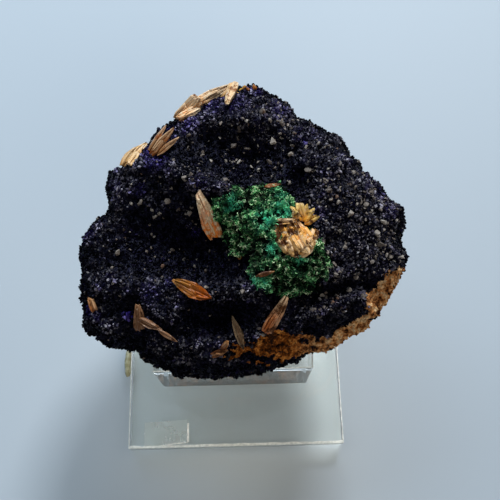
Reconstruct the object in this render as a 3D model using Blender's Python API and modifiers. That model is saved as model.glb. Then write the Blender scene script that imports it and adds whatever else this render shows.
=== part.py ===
"""Azurite specimen: a drusy azurite rock with malachite and baryte, on a two-step clear acrylic stand.

The origin is the centre of the stand's underside, +Z is up and the show side faces up and towards -Y.
Every size below is in millimetres and is turned into metres where a mesh is made.
"""

import math

import bmesh
import bpy
import numpy as np
from mathutils import Matrix, Vector, noise
from mathutils.bvhtree import BVHTree

MM = 0.001
GAP = 0.3

# The stand: a flat plate with a square block bonded on it.
PLATE_WIDTH = 50.0
PLATE_DEPTH = 60.0
PLATE_THICKNESS = 5.0
BLOCK_WIDTH = 34.0
BLOCK_DEPTH = 32.0
BLOCK_HEIGHT = 20.0
POLISHED_EDGE = 0.4
BLOCK_TOP = PLATE_THICKNESS + GAP + BLOCK_HEIGHT
REST_HEIGHT = BLOCK_TOP + GAP

# The rock is shaped in its show frame: u to the right, v up the show side and w out of it.
SHOW_CENTRE = Vector((3.0, 11.0, 42.0))
SHOW_TILT = math.radians(15.0)
CROWN_HEIGHT = 15.5
KEEL_DEPTH = 19.0
CROWN_SQUARENESS = 2.5
KEEL_SQUARENESS = 2.3
RIM_LEVEL = 7.0
OUTLINE_SPREAD = 0.35
ROCK_SUBDIVISIONS = 6
ROCK_FACES = 5100

# The rock's outline at w = 0, as (u, v), anticlockwise from its right corner.
ROCK_OUTLINE = (
    (32.0, -1.9), (31.8, 1.0), (28.9, 3.4), (27.1, 5.9), (24.2, 8.6), (21.8, 12.1),
    (20.3, 15.4), (15.9, 17.8), (11.4, 19.5), (9.0, 23.9), (5.7, 24.9), (2.9, 27.2),
    (-0.5, 26.6), (-5.0, 22.9), (-9.3, 20.4), (-14.4, 19.8), (-17.8, 16.8), (-19.7, 12.3),
    (-21.5, 10.8), (-26.1, 10.1), (-26.8, 6.9), (-26.0, 3.4), (-28.4, 0.5), (-31.8, -2.4),
    (-33.4, -6.4), (-31.8, -10.5), (-32.5, -17.2), (-32.7, -21.5), (-26.9, -24.7),
    (-22.0, -25.4), (-17.8, -29.0), (-15.4, -28.8), (-13.4, -31.0), (-8.8, -30.6),
    (-3.5, -31.0), (3.1, -30.4), (11.3, -27.5), (16.7, -26.3), (20.8, -23.9), (26.3, -20.3),
    (28.4, -15.7), (32.1, -12.0), (32.8, -8.9), (31.3, -5.9),
)

# Lumps (positive) and hollows (negative) of the show side: u, v, half-length, half-width, turn, height.
LUMPS = (
    (-24.5, 6.5, 4.5, 4.0, 0, 2.2),
    (-8.5, -7.0, 9.0, 6.0, 10, -6.0),
    (-18.0, -3.0, 8.0, 5.0, 15, -3.2),
    (2.5, 10.5, 7.0, 4.0, -5, -3.0),
    (-6.0, 13.0, 5.0, 3.0, -20, -1.5),
    (3.0, 20.5, 5.0, 4.0, 0, 1.8),
    (19.0, 3.0, 10.0, 8.0, -45, 2.4),
    (10.8, 5.0, 2.4, 3.0, 0, -2.6),
    (-14.5, -18.2, 4.0, 3.0, 5, 2.4),
    (-5.5, -19.0, 5.0, 3.0, 0, -3.4),
    (-13.5, -25.0, 4.5, 3.0, 0, 1.6),
    (-26.0, -20.5, 4.0, 3.0, 0, 1.2),
    (8.0, -6.0, 7.0, 5.0, -40, 1.4),
    (29.0, -9.0, 3.0, 3.0, 0, 1.2),
)

# Ridges (positive) and grooves (negative): the points they run through, half-width, height.
RIDGES = (
    (((-20.0, 10.0), (-14.5, 8.2), (-9.8, 6.2), (-5.5, 4.6), (-2.6, 2.6)), 2.0, 2.4),
    (((-9.0, 18.0), (-2.0, 17.6), (5.5, 16.2), (9.5, 14.2)), 1.9, 1.4),
    (((-31.0, -11.4), (-22.2, -12.8), (-15.8, -13.2), (-5.6, -14.6), (1.0, -14.4)), 2.2, 2.2),
    (((15.0, -12.6), (21.0, -11.0), (27.0, -10.2)), 1.6, 1.2),
    (((9.5, -19.0), (15.0, -17.8), (21.5, -16.0)), 1.7, 1.5),
    (((12.0, -15.4), (18.0, -14.6), (24.0, -13.6)), 1.3, -1.3),
    (((24.0, 12.0), (17.5, 8.0), (12.0, 9.5)), 1.8, 1.0),
)

# Flat faces where the rock broke away, below and behind: outward normal (u, v, w) and distance.
BREAKS = (
    (0.75, -0.20, -0.60, 25.0),
    (0.55, 0.60, -0.55, 24.5),
    (-0.05, 0.80, -0.60, 24.0),
    (-0.70, 0.45, -0.60, 26.0),
    (-0.85, -0.15, -0.50, 29.0),
    (-0.45, -0.72, -0.60, 29.0),
    (0.30, -0.78, -0.55, 26.0),
    (0.90, 0.15, -0.40, 30.5),
)
BREAK_SHARPNESS = 20.0

# Botryoidal swellings all over, then finer druse: cell size and height of each.
SWELLINGS = ((6.5, 1.1), (3.0, 0.75))
ROUGHNESS_SIZE = 2.2
ROUGHNESS_HEIGHT = 0.35

# The malachite cushion: its outline over the rock as (u, v), anticlockwise, and its dome.
MALACHITE_OUTLINE = (
    (14.7, -7.3), (13.3, -5.2), (11.5, -2.5), (10.2, -0.1), (9.2, 0.7), (8.6, 2.6),
    (6.5, 4.5), (4.4, 4.9), (2.5, 4.2), (0.4, 3.5), (-1.8, 3.7), (-3.5, 2.5),
    (-5.4, 2.5), (-6.2, 0.6), (-5.7, -1.7), (-3.9, -4.3), (-2.5, -6.9), (-1.4, -9.3),
    (2.0, -7.6), (0.4, -10.4), (1.0, -13.0), (3.1, -14.5), (5.6, -15.6),
    (9.1, -16.0), (12.5, -15.0), (14.9, -13.0), (15.4, -9.8),
)
MALACHITE_CENTRE = (5.5, -4.5)
MALACHITE_RINGS = 7
MALACHITE_SPOKES = 36
MALACHITE_DOME = 1.7
MALACHITE_RIM = 0.5
MALACHITE_ROOT = 1.6
TUFT_SIZE = 2.3
TUFT_HEIGHT = 1.3

# Baryte blades, each (root, tip, width, thickness, widest, roll). Root and tip are (u, v, lift over
# the rock), widest is the share of the length where the blade is widest and roll turns it on its length.
BARYTE_BLADES = {
    "baryte_rim_fan": (
        ((-12.6, 18.6, 0.2), (-7.4, 23.4, 2.2), 3.0, 1.0, 0.55, 25),
        ((-11.8, 17.8, 0.5), (-3.8, 23.0, 2.6), 3.6, 1.2, 0.35, 10),
        ((-9.6, 20.6, 1.2), (-0.9, 26.0, 2.6), 2.8, 1.0, 0.6, 25),
    ),
    "baryte_hanging_blade": (
        ((-4.2, 20.8, 0.4), (-0.6, 25.8, 3.2), 3.4, 1.1, 0.6, 0),
        ((-1.2, 25.6, 3.0), (-1.9, 18.4, 0.9), 3.0, 1.2, 0.6, 0),
    ),
    "baryte_slender_blades": (
        ((-16.9, 11.4, -0.2), (-13.1, 16.3, 1.4), 1.6, 1.1, 0.4, 20),
        ((-16.6, 9.9, -0.2), (-11.6, 15.1, 2.0), 2.2, 1.1, 0.4, 15),
        ((-15.2, 9.8, -0.2), (-11.6, 13.9, 1.4), 1.5, 1.0, 0.4, 10),
    ),
    "baryte_edge_group": (
        ((-21.4, 9.4, -0.4), (-17.8, 14.8, 1.6), 3.2, 1.2, 0.6, 10),
        ((-19.6, 9.0, -0.4), (-19.6, 13.4, 1.6), 2.8, 1.1, 0.5, -20),
        ((-20.5, 8.6, -0.4), (-22.4, 11.8, 1.2), 2.4, 1.0, 0.5, 15),
    ),
    "baryte_broad_blade": (((-5.0, -5.6, 1.0), (-9.3, 4.4, 0.5), 4.4, 1.3, 0.28, -8),),
    "baryte_lens_blade": (((-5.4, -16.2, 1.9), (-13.6, -12.1, 1.5), 3.3, 1.1, 0.4, -4),),
    "baryte_forked_blade": (
        ((-19.4, -21.4, 0.6), (-19.4, -16.2, 1.2), 2.8, 1.2, 0.2, 0),
        ((-20.2, -20.8, 0.8), (-13.0, -22.4, 1.1), 1.9, 1.0, 0.2, 0),
        ((-15.8, -21.4, 0.8), (-11.7, -25.2, 0.9), 1.8, 1.0, 0.5, 0),
    ),
    "baryte_striated_blade": (((3.3, -22.4, 0.5), (7.5, -15.6, 1.3), 2.6, 1.2, 0.35, 10),),
    "baryte_brown_blade": (((-0.4, -25.4, 0.6), (-2.5, -18.6, 1.6), 2.3, 1.1, 0.5, 0),),
    "baryte_front_chunk": (((-6.4, -26.0, 0.4), (-2.2, -24.9, 1.1), 2.3, 1.6, 0.5, 0),),
    "baryte_side_chip": (((-28.0, -18.2, 0.3), (-28.4, -14.8, 0.7), 1.8, 1.2, 0.5, 0),),
    "baryte_rosette": (
        ((10.1, -4.9, 0.5), (9.3, -0.5, 2.8), 3.2, 1.0, 0.7, 12),
        ((11.0, -4.7, 0.8), (12.5, -0.6, 2.2), 3.0, 1.0, 0.7, -14),
        ((10.3, -4.0, 0.6), (13.4, -2.3, 1.7), 2.4, 1.0, 0.6, 22),
        ((11.6, -4.9, 1.1), (5.6, -2.8, 3.3), 3.4, 1.1, 0.7, 16),
        ((11.3, -3.3, 0.9), (6.1, -7.2, 3.5), 4.2, 1.2, 0.65, -8),
        ((10.9, -2.3, 1.2), (9.2, -9.7, 3.4), 4.8, 1.3, 0.6, 10),
        ((10.6, -2.9, 0.7), (12.7, -7.7, 2.9), 3.4, 1.1, 0.65, -18),
    ),
    "baryte_upper_splinter": (((3.4, 2.8, 2.3), (7.3, 3.3, 2.9), 1.4, 0.9, 0.5, 0),),
    "baryte_lower_splinter": (((1.5, -12.4, 2.2), (5.6, -11.4, 2.8), 1.4, 0.9, 0.5, 0),),
}
BARYTE_IN_MALACHITE = (
    "baryte_rosette", "baryte_broad_blade", "baryte_upper_splinter", "baryte_lower_splinter",
)
BLADE_STATIONS = (0.0, 0.18, 0.5, 0.82, 1.0)
BLADE_ROOT_WIDTH = 0.45
BLADE_TIP_WIDTH = 0.12
BLADE_RIM = 0.3

# The bead of glue on the plate's left edge.
BEAD_LENGTH = 7.0
BEAD_WIDTH = 1.5
BEAD_HEIGHT = 3.0
BEAD_PLACE = -9.3

AZURITE = ((0.010, 0.012, 0.045), 0.35)
MALACHITE = ((0.02, 0.22, 0.10), 0.85)
BARYTE = ((0.60, 0.38, 0.16), 0.35)
ACRYLIC = ((0.85, 0.92, 0.94), 0.05)
GLUE = ((0.70, 0.62, 0.28), 0.30)


# Scene and helpers.

def clear_scene():
    for obj in list(bpy.data.objects):
        bpy.data.objects.remove(obj)


def new_collection(name):
    collection = bpy.data.collections.new(name)
    bpy.context.scene.collection.children.link(collection)
    return collection


def new_material(name, finish, see_through=0.0):
    colour, roughness = finish
    material = bpy.data.materials.new(name)
    material.use_nodes = True
    shader = material.node_tree.nodes["Principled BSDF"]
    shader.inputs["Base Color"].default_value = (*colour, 1.0)
    shader.inputs["Roughness"].default_value = roughness
    shader.inputs["Metallic"].default_value = 0.0
    shader.inputs["Transmission Weight"].default_value = see_through
    return material


def add_object(name, mesh, collection, material=None, parent=None):
    obj = bpy.data.objects.new(name, mesh)
    collection.objects.link(obj)
    if material:
        mesh.materials.clear()
        mesh.materials.append(material)
    obj.parent = parent
    return obj


def mesh_from(name, bm):
    bmesh.ops.recalc_face_normals(bm, faces=bm.faces)
    mesh = bpy.data.meshes.new(name)
    bm.to_mesh(mesh)
    bm.free()
    return mesh


def evaluated_mesh(obj):
    """The object's mesh with its modifiers applied."""
    bpy.context.view_layer.update()
    graph = bpy.context.evaluated_depsgraph_get()
    return bpy.data.meshes.new_from_object(obj.evaluated_get(graph), depsgraph=graph)


def as_cutter(obj):
    obj.hide_render = True
    obj.display_type = "WIRE"
    return obj


def add_boolean(obj, other, operation):
    modifier = obj.modifiers.new(operation.title(), "BOOLEAN")
    modifier.operation = operation
    modifier.object = other
    modifier.solver = "EXACT"


def largest_shell(mesh, name):
    """The mesh's biggest connected shell, which leaves out crumbs that a cut has parted from it."""
    bm = bmesh.new()
    bm.from_mesh(mesh)
    bmesh.ops.remove_doubles(bm, verts=bm.verts, dist=0.000001)
    left = set(bm.verts)
    shells = []
    while left:
        reached = [left.pop()]
        shell = list(reached)
        while reached:
            for edge in reached.pop().link_edges:
                for vert in edge.verts:
                    if vert in left:
                        left.remove(vert)
                        reached.append(vert)
                        shell.append(vert)
        shells.append(shell)
    keep = set(max(shells, key=len))
    bmesh.ops.delete(bm, geom=[v for v in bm.verts if v not in keep], context="VERTS")
    return mesh_from(name, bm)


# The show frame.

def show_matrix():
    """Takes millimetres in the show frame to metres in the part's frame."""
    turn = Matrix.Rotation(SHOW_TILT, 4, "X")
    return Matrix.Translation(SHOW_CENTRE * MM) @ turn @ Matrix.Scale(MM, 4)


def smooth_step(low, high, value):
    share = np.clip((value - low) / (high - low), 0.0, 1.0)
    return share * share * (3.0 - 2.0 * share)


def outline_radius(outline, centre, angle):
    """How far the outline lies from the centre, at each angle."""
    points = np.array(outline) - np.array(centre)
    angles = np.unwrap(np.arctan2(points[:, 1], points[:, 0]))
    radii = np.hypot(points[:, 0], points[:, 1])
    start = angles[0]
    return np.interp((angle - start) % (2 * math.pi) + start, angles, radii, period=2 * math.pi)


# The stand.

def polished_block(name, size, underside, material, collection, parent):
    """A sawn acrylic block with fine polished edges, centred over the origin."""
    bm = bmesh.new()
    bmesh.ops.create_cube(bm, size=1.0)
    bmesh.ops.scale(bm, vec=Vector(size) * MM, verts=bm.verts)
    bmesh.ops.translate(bm, vec=Vector((0, 0, (underside + size[2] / 2) * MM)), verts=bm.verts)
    obj = add_object(name, mesh_from(name, bm), collection, material, parent)
    bevel = obj.modifiers.new("Polished edge", "BEVEL")
    bevel.width = POLISHED_EDGE * MM
    bevel.segments = 1
    return obj


def make_stand(collection, parent):
    clear = new_material("clear_acrylic", ACRYLIC, see_through=1.0)
    plate_size = (PLATE_WIDTH, PLATE_DEPTH, PLATE_THICKNESS)
    block_size = (BLOCK_WIDTH, BLOCK_DEPTH, BLOCK_HEIGHT)
    polished_block("acrylic_base_plate", plate_size, 0.0, clear, collection, parent)
    polished_block("acrylic_riser_block", block_size, PLATE_THICKNESS + GAP, clear, collection, parent)


# The rock.

def lump_height(u, v):
    total = np.zeros_like(u)
    for cu, cv, half_length, half_width, turn, height in LUMPS:
        c, s = math.cos(math.radians(turn)), math.sin(math.radians(turn))
        along = ((u - cu) * c + (v - cv) * s) / half_length
        across = (-(u - cu) * s + (v - cv) * c) / half_width
        total += height * np.exp(-(along**2 + across**2))
    return total


def distance_to_line(u, v, points):
    nearest = np.full_like(u, np.inf)
    for (u0, v0), (u1, v1) in zip(points, points[1:]):
        du, dv = u1 - u0, v1 - v0
        share = np.clip(((u - u0) * du + (v - v0) * dv) / (du * du + dv * dv), 0.0, 1.0)
        nearest = np.minimum(nearest, np.hypot(u - u0 - share * du, v - v0 - share * dv))
    return nearest


def ridge_height(u, v):
    total = np.zeros_like(u)
    for points, half_width, height in RIDGES:
        total += height * np.exp(-((distance_to_line(u, v, points) / half_width) ** 2))
    return total


def swelling(point, size):
    """A rounded swelling over each cell of a random packing, from -0.5 at its seams to 0.5 on top."""
    nearest = noise.voronoi(Vector(point) / size)[0][0]
    return 0.5 - min(nearest, 1.0)


def rock_points(directions):
    """Where each direction from the show centre meets the rock's surface, in the show frame."""
    angle = np.arctan2(directions[:, 1], directions[:, 0])
    level = np.hypot(directions[:, 0], directions[:, 1])
    rise = directions[:, 2]
    exact = outline_radius(ROCK_OUTLINE, (0.0, 0.0), angle)
    spread = np.linspace(-OUTLINE_SPREAD, OUTLINE_SPREAD, 9)
    plain = sum(outline_radius(ROCK_OUTLINE, (0.0, 0.0), angle + turn) for turn in spread) / len(spread)
    reach = exact + (plain - exact) * smooth_step(0.2, 0.6, np.abs(rise))
    height = np.where(rise > 0, CROWN_HEIGHT, KEEL_DEPTH)
    power = np.where(rise > 0, CROWN_SQUARENESS, KEEL_SQUARENESS)
    size = ((level / reach) ** power + (np.abs(rise) / height) ** power) ** (-1.0 / power)
    for *normal, distance in BREAKS:
        normal = np.array(normal) / np.linalg.norm(normal)
        facing = np.maximum(directions @ normal, 1e-6)
        flat = distance / facing
        size = (size**-BREAK_SHARPNESS + flat**-BREAK_SHARPNESS) ** (-1.0 / BREAK_SHARPNESS)
    points = directions * size[:, None]
    upward = smooth_step(0.05, 0.45, rise)
    u, v = points[:, 0], points[:, 1]
    points[:, 2] += upward * (lump_height(u, v) + ridge_height(u, v))
    bump = np.zeros(len(points))
    for cell, swell in SWELLINGS:
        bump += swell * np.array([swelling(point, cell) for point in points])
    rough = [noise.fractal(Vector(p) / ROUGHNESS_SIZE, 0.8, 2.0, 3) for p in points]
    bump += ROUGHNESS_HEIGHT * np.array(rough)
    return points + directions * bump[:, None]


def make_rock(material, collection, parent):
    bm = bmesh.new()
    bmesh.ops.create_icosphere(bm, subdivisions=ROCK_SUBDIVISIONS, radius=1.0)
    directions = np.array([vert.co.normalized() for vert in bm.verts])
    to_part = show_matrix()
    for vert, point in zip(bm.verts, rock_points(directions)):
        vert.co = to_part @ Vector(point)
        vert.co.z = max(vert.co.z, REST_HEIGHT * MM)
    full = len(bm.faces)
    rock = add_object("azurite_rock", mesh_from("azurite_rock", bm), collection, material, parent)
    thin = rock.modifiers.new("Fewer faces", "DECIMATE")
    thin.ratio = ROCK_FACES / full
    rock.data = largest_shell(evaluated_mesh(rock), "azurite_rock")
    rock.data.materials.append(material)
    rock.modifiers.clear()
    return rock


def clearance_cutter(source, name, collection):
    """A copy of the source's solid, grown by the gap, that trims whatever sits on it."""
    cutter = as_cutter(add_object(name, source.data.copy(), collection))
    grow = cutter.modifiers.new("Gap", "DISPLACE")
    grow.strength = GAP * MM
    grow.mid_level = 0.0
    return cutter


def surface_finder(obj):
    """A function from (u, v) to w, the height of the object's surface, or of its rim beside it."""
    to_show = show_matrix().inverted()
    bm = bmesh.new()
    bm.from_mesh(obj.data)
    bmesh.ops.transform(bm, matrix=to_show, verts=bm.verts)
    tree = BVHTree.FromBMesh(bm)
    bm.free()
    down = Vector((0.0, 0.0, -1.0))

    def height(u, v):
        hit = tree.ray_cast(Vector((u, v, 60.0)), down)[0]
        return hit.z if hit else RIM_LEVEL

    return height


# The baryte.

def blade_hull(blade, height):
    """One tabular crystal: a lens outline with a bevelled rim, as a convex solid in the show frame."""
    (u0, v0, lift0), (u1, v1, lift1), width, thickness, widest, roll = blade
    root = Vector((u0, v0, height(u0, v0) + lift0))
    tip = Vector((u1, v1, height(u1, v1) + lift1))
    along = (tip - root).normalized()
    turn = Matrix.Rotation(math.radians(roll), 3, along)
    across = turn @ along.cross(Vector((0.0, 0.0, 1.0))).normalized()
    out = across.cross(along)
    bm = bmesh.new()
    for share in BLADE_STATIONS:
        if share < widest:
            rise = math.sin(share / widest * math.pi / 2)
            wide = BLADE_ROOT_WIDTH + (1.0 - BLADE_ROOT_WIDTH) * rise
        else:
            fall = (share - widest) / (1.0 - widest)
            wide = 1.0 + (BLADE_TIP_WIDTH - 1.0) * fall**1.5
        middle = root.lerp(tip, share)
        for side in (-0.5, 0.5):
            for layer, inset in ((-0.5, 1.0 - BLADE_RIM), (0.0, 1.0), (0.5, 1.0 - BLADE_RIM)):
                edge = across * (side * wide * width * inset)
                bm.verts.new(middle + edge + out * (layer * thickness * (0.4 + 0.6 * wide)))
    hull = bmesh.ops.convex_hull(bm, input=bm.verts)
    loose = {v for v in hull["geom_interior"] + hull["geom_unused"] if isinstance(v, bmesh.types.BMVert)}
    bmesh.ops.delete(bm, geom=list(loose), context="VERTS")
    bmesh.ops.transform(bm, matrix=show_matrix(), verts=bm.verts)
    return bm


def make_blades(name, blades, height, rock_cutter, material, collection, cutters, parent):
    """A cluster of blades grown into one crystal, cut where it meets the rock, and its blades."""
    singles = []
    for number, blade in enumerate(blades, start=1):
        mesh = mesh_from(name, blade_hull(blade, height))
        singles.append(as_cutter(add_object(f"{name}_{number}", mesh, cutters)))
    cluster = add_object(name, singles[0].data.copy(), collection, material, parent)
    for single in singles[1:]:
        add_boolean(cluster, single, "UNION")
    add_boolean(cluster, rock_cutter, "DIFFERENCE")
    cluster.data = largest_shell(evaluated_mesh(cluster), name)
    cluster.data.materials.append(material)
    cluster.modifiers.clear()
    return singles


# The malachite.

def make_malachite(height, rock_cutter, baryte_cutters, material, collection, parent):
    """A tufted cushion: a domed disc over the rock, cut to the rock and round the baryte in it."""
    turns = np.arange(MALACHITE_SPOKES) * 2 * math.pi / MALACHITE_SPOKES
    reach = outline_radius(MALACHITE_OUTLINE, MALACHITE_CENTRE, turns)
    cu, cv = MALACHITE_CENTRE
    bm = bmesh.new()
    layers = []
    for top in (True, False):
        rings = []
        for ring in range(1, MALACHITE_RINGS + 1):
            share = ring / MALACHITE_RINGS
            loop = []
            for turn, far in zip(turns, reach):
                u, v = cu + far * share * math.cos(turn), cv + far * share * math.sin(turn)
                loop.append(bm.verts.new(cushion_point(u, v, share, top, height)))
            rings.append(loop)
        middle = bm.verts.new(cushion_point(cu, cv, 0.0, top, height))
        for inner, outer in zip(rings, rings[1:]):
            join_loops(bm, inner, outer)
        for this, following in zip(rings[0], rings[0][1:] + rings[0][:1]):
            bm.faces.new((middle, this, following))
        layers.append(rings[-1])
    join_loops(bm, *layers)
    bmesh.ops.transform(bm, matrix=show_matrix(), verts=bm.verts)
    bmesh.ops.triangulate(bm, faces=bm.faces)
    name = "malachite_cushion"
    cushion = add_object(name, mesh_from(name, bm), collection, material, parent)
    for cutter in [rock_cutter] + baryte_cutters:
        add_boolean(cushion, cutter, "DIFFERENCE")
    cushion.data = largest_shell(evaluated_mesh(cushion), name)
    cushion.data.materials.append(material)
    cushion.modifiers.clear()
    return cushion


def cushion_point(u, v, share, top, height):
    base = height(u, v)
    if not top:
        return Vector((u, v, base - MALACHITE_ROOT))
    dome = MALACHITE_RIM + MALACHITE_DOME * math.sqrt(max(0.0, 1.0 - share**3))
    tuft = TUFT_HEIGHT * swelling((u, v, 0.0), TUFT_SIZE)
    return Vector((u, v, base + dome + tuft * (1.0 - share**4)))


def join_loops(bm, inner, outer):
    count = len(inner)
    for i in range(count):
        j = (i + 1) % count
        bm.faces.new((inner[i], outer[i], outer[j], inner[j]))


# The glue.

def make_bead(material, collection, parent):
    """A run of glue against the plate's left edge, narrow at the back and swollen in front."""
    bm = bmesh.new()
    bmesh.ops.create_uvsphere(bm, u_segments=12, v_segments=8, radius=0.5)
    bmesh.ops.rotate(bm, matrix=Matrix.Rotation(math.pi / 2, 3, "X"), verts=bm.verts)
    for vert in bm.verts:
        slim = 0.75 - 0.5 * vert.co.y
        vert.co.x *= BEAD_WIDTH * slim
        vert.co.z *= BEAD_HEIGHT * slim
        vert.co.y *= BEAD_LENGTH
        vert.co += Vector((0.0, BEAD_PLACE, PLATE_THICKNESS / 2))
        vert.co.x -= (PLATE_WIDTH + BEAD_WIDTH) / 2 + GAP
        vert.co *= MM
    add_object("glue_bead", mesh_from("glue_bead", bm), collection, material, parent)


def main():
    clear_scene()
    part = new_collection("azurite_specimen")
    cutters = new_collection("cutters")
    root = bpy.data.objects.new("azurite_specimen_origin", None)
    part.objects.link(root)
    azurite = new_material("azurite", AZURITE)
    malachite = new_material("malachite", MALACHITE)
    baryte = new_material("baryte", BARYTE)
    glue = new_material("dried_glue", GLUE)
    make_stand(part, root)
    rock = make_rock(azurite, part, root)
    height = surface_finder(rock)
    rock_cutter = clearance_cutter(rock, "rock_clearance", cutters)
    in_malachite = []
    for name, blades in BARYTE_BLADES.items():
        singles = make_blades(name, blades, height, rock_cutter, baryte, part, cutters, root)
        if name in BARYTE_IN_MALACHITE:
            for single in singles:
                in_malachite.append(clearance_cutter(single, f"{single.name}_clearance", cutters))
    make_malachite(height, rock_cutter, in_malachite, malachite, part, root)
    make_bead(glue, part, root)


main()
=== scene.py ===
# %% [markdown]
# # An azurite specimen on a clear stand
# A fist of dark blue azurite druse, with a tuft of green malachite in its hollow, blades of tan
# baryte, and a rusty limonite underside, rests on a two-step block of clear acrylic.
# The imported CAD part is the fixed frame: it says where everything is. This lesson gives each
# piece its real surface. It works in metres, and MM turns a maker's millimetres into them.

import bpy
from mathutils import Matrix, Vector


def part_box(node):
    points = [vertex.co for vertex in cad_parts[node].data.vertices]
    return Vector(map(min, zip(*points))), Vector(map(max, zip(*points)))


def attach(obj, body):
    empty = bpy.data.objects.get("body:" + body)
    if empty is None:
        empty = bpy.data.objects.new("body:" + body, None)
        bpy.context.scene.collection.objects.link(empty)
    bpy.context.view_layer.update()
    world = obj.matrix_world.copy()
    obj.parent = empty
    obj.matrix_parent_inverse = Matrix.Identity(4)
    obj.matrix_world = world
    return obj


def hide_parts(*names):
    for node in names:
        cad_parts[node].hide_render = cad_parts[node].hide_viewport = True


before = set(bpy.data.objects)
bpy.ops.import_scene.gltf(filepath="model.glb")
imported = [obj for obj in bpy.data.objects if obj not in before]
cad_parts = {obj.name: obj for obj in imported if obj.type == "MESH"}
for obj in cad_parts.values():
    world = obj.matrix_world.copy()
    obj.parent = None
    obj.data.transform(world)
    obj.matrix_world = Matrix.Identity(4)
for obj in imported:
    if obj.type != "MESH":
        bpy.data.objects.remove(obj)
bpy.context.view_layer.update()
MM = 0.001
print("CAD nodes:", len(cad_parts))

# %% The tools that the cells below share
import math

import bmesh
import bpy
import numpy as np
from mathutils import Matrix, Vector, noise
from mathutils.bvhtree import BVHTree

scene = bpy.context.scene


def link_object(name, data):
    """A new object at the origin, with its place in its mesh."""
    piece = bpy.data.objects.new(name, data)
    scene.collection.objects.link(piece)
    return piece


def mesh_of(bm, name):
    """The plain mesh of a bmesh, which is freed."""
    mesh = bpy.data.meshes.new(name)
    bm.to_mesh(mesh)
    bm.free()
    return mesh


def read_rows(mesh, field):
    """One row of three numbers for each point of the mesh: its "co" or its "normal"."""
    rows = np.empty(len(mesh.vertices) * 3, np.float32)
    mesh.vertices.foreach_get(field, rows)
    return rows.reshape(-1, 3)


def triangles(piece):
    """How many triangles the piece has."""
    piece.data.calc_loop_triangles()
    return len(piece.data.loop_triangles)


def coat(piece, finish):
    """The piece's only finish."""
    piece.data.materials.clear()
    piece.data.materials.append(finish)


def ride_as(piece, slot_name, *nodes):
    """The piece moves with the part's one body, and the CAD nodes it stands for are hidden. slot_name is
    not used.
    """
    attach(piece, "root")
    if nodes:
        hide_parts(*nodes)
    print(f"{piece.name}: {triangles(piece)} triangles")


print("works in metres, with 1 mm =", MM)

# %% [markdown]
# ## The camera
# The specimen is seen from above and a little in front, as a collector looks down on it.
# A camera's matrix has its right, up and backward directions as columns, then its place.
# Writing it from a pitch, a small yaw and a small roll is easier to correct than three Euler
# angles, because each number changes one thing in the picture.

# %% Place the camera
CAMERA_PLACE = Vector((3.5, -41.8, 169.6)) * MM
PITCH, YAW, ROLL = (math.radians(angle) for angle in (70.0, 0.89, -0.64))
SENSOR_WIDTH = 36.0  # mm
FOCAL_PIXELS, PICTURE_PIXELS = 687.0, 500.0  # the focal length against the picture's width
NEAREST_SEEN = 1.0 * MM

forward = Vector(
    (math.sin(YAW) * math.cos(PITCH), math.cos(YAW) * math.cos(PITCH), -math.sin(PITCH))
)
level = Vector((math.cos(YAW), -math.sin(YAW), 0.0))
lift = level.cross(forward)
right = math.cos(ROLL) * level + math.sin(ROLL) * lift
up = -math.sin(ROLL) * level + math.cos(ROLL) * lift

camera = link_object("camera", bpy.data.cameras.new("camera"))
camera.data.sensor_width = SENSOR_WIDTH
camera.data.lens = SENSOR_WIDTH * FOCAL_PIXELS / PICTURE_PIXELS
camera.data.clip_start = NEAREST_SEEN
turned = Matrix((right, up, -forward)).transposed().to_4x4()
camera.matrix_world = Matrix.Translation(CAMERA_PLACE) @ turned
scene.camera = camera
print("camera at", [round(x, 4) for x in CAMERA_PLACE], "lens", round(camera.data.lens, 1), "mm")

# %% [markdown]
# ## The show face
# The rock leans 15 degrees towards the viewer, so its best face has its own directions:
# u runs to the right, v runs up the face, and w stands out of it. Everything on the rock is
# placed by (u, v) in millimetres, and w is found by dropping a ray onto the CAD rock. Where a
# ray finds no rock, the rim's level stands in for it.

# %% From the show face to the part's frame
SHOW_CENTRE = Vector((3.0, 11.0, 42.0)) * MM
SHOW_TILT = math.radians(15.0)
RAY_START, RIM_LEVEL = 60.0, 7.0  # w in millimetres
show_face = (
    Matrix.Translation(SHOW_CENTRE) @ Matrix.Rotation(SHOW_TILT, 4, "X") @ Matrix.Scale(MM, 4)
)
from_show = show_face.inverted()


def corners(mesh):
    """The mesh's points as rows of (x, y, z) in metres."""
    return read_rows(mesh, "co").astype(float)


def on_show_face(points):
    """Rows of (u, v, w) in millimetres."""
    turn = np.array(from_show)
    return points @ turn[:3, :3].T + turn[:3, 3]


def surface_finder(mesh):
    """A function that drops a ray onto the mesh at (u, v) and gives w there."""
    tree = BVHTree.FromPolygons(
        [Vector(p) for p in on_show_face(corners(mesh))], [p.vertices[:] for p in mesh.polygons]
    )

    def height(u, v):
        """w of the surface at (u, v)."""
        hit = tree.ray_cast(Vector((u, v, RAY_START)), Vector((0.0, 0.0, -1.0)))[0]
        return hit.z if hit else RIM_LEVEL

    return height


rock_height = surface_finder(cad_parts["azurite_rock"].data)
print("right slope stands", round(rock_height(20.0, 0.0), 1), "mm out of the show plane")

# %% [markdown]
# ## Small helpers for node trees
# Shader trees and geometry trees are built the same way: add a node, then give each input
# either a value or another node's output. The first three functions do that, and the others
# each add one kind of node, so each tree below reads as a list of what it does. An input is
# named by its label, or by its number where one node has several sets of inputs.

# %% Nodes in one line each
def feed(tree, target, value):
    """Links value to the target socket if it is a socket, else stores it there."""
    if isinstance(value, bpy.types.NodeSocket):
        tree.links.new(value, target)
    else:
        target.default_value = value


def feed_all(tree, node, inputs):
    """Feeds several of a node's inputs: a label or number, and its value or socket."""
    for key, value in inputs.items():
        feed(tree, node.inputs[key], value)


def add_node(tree, kind, inputs=None, **settings):
    """A new node with these settings and inputs."""
    node = tree.nodes.new(kind)
    for name, value in settings.items():
        setattr(node, name, value)
    feed_all(tree, node, inputs or {})
    return node


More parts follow.
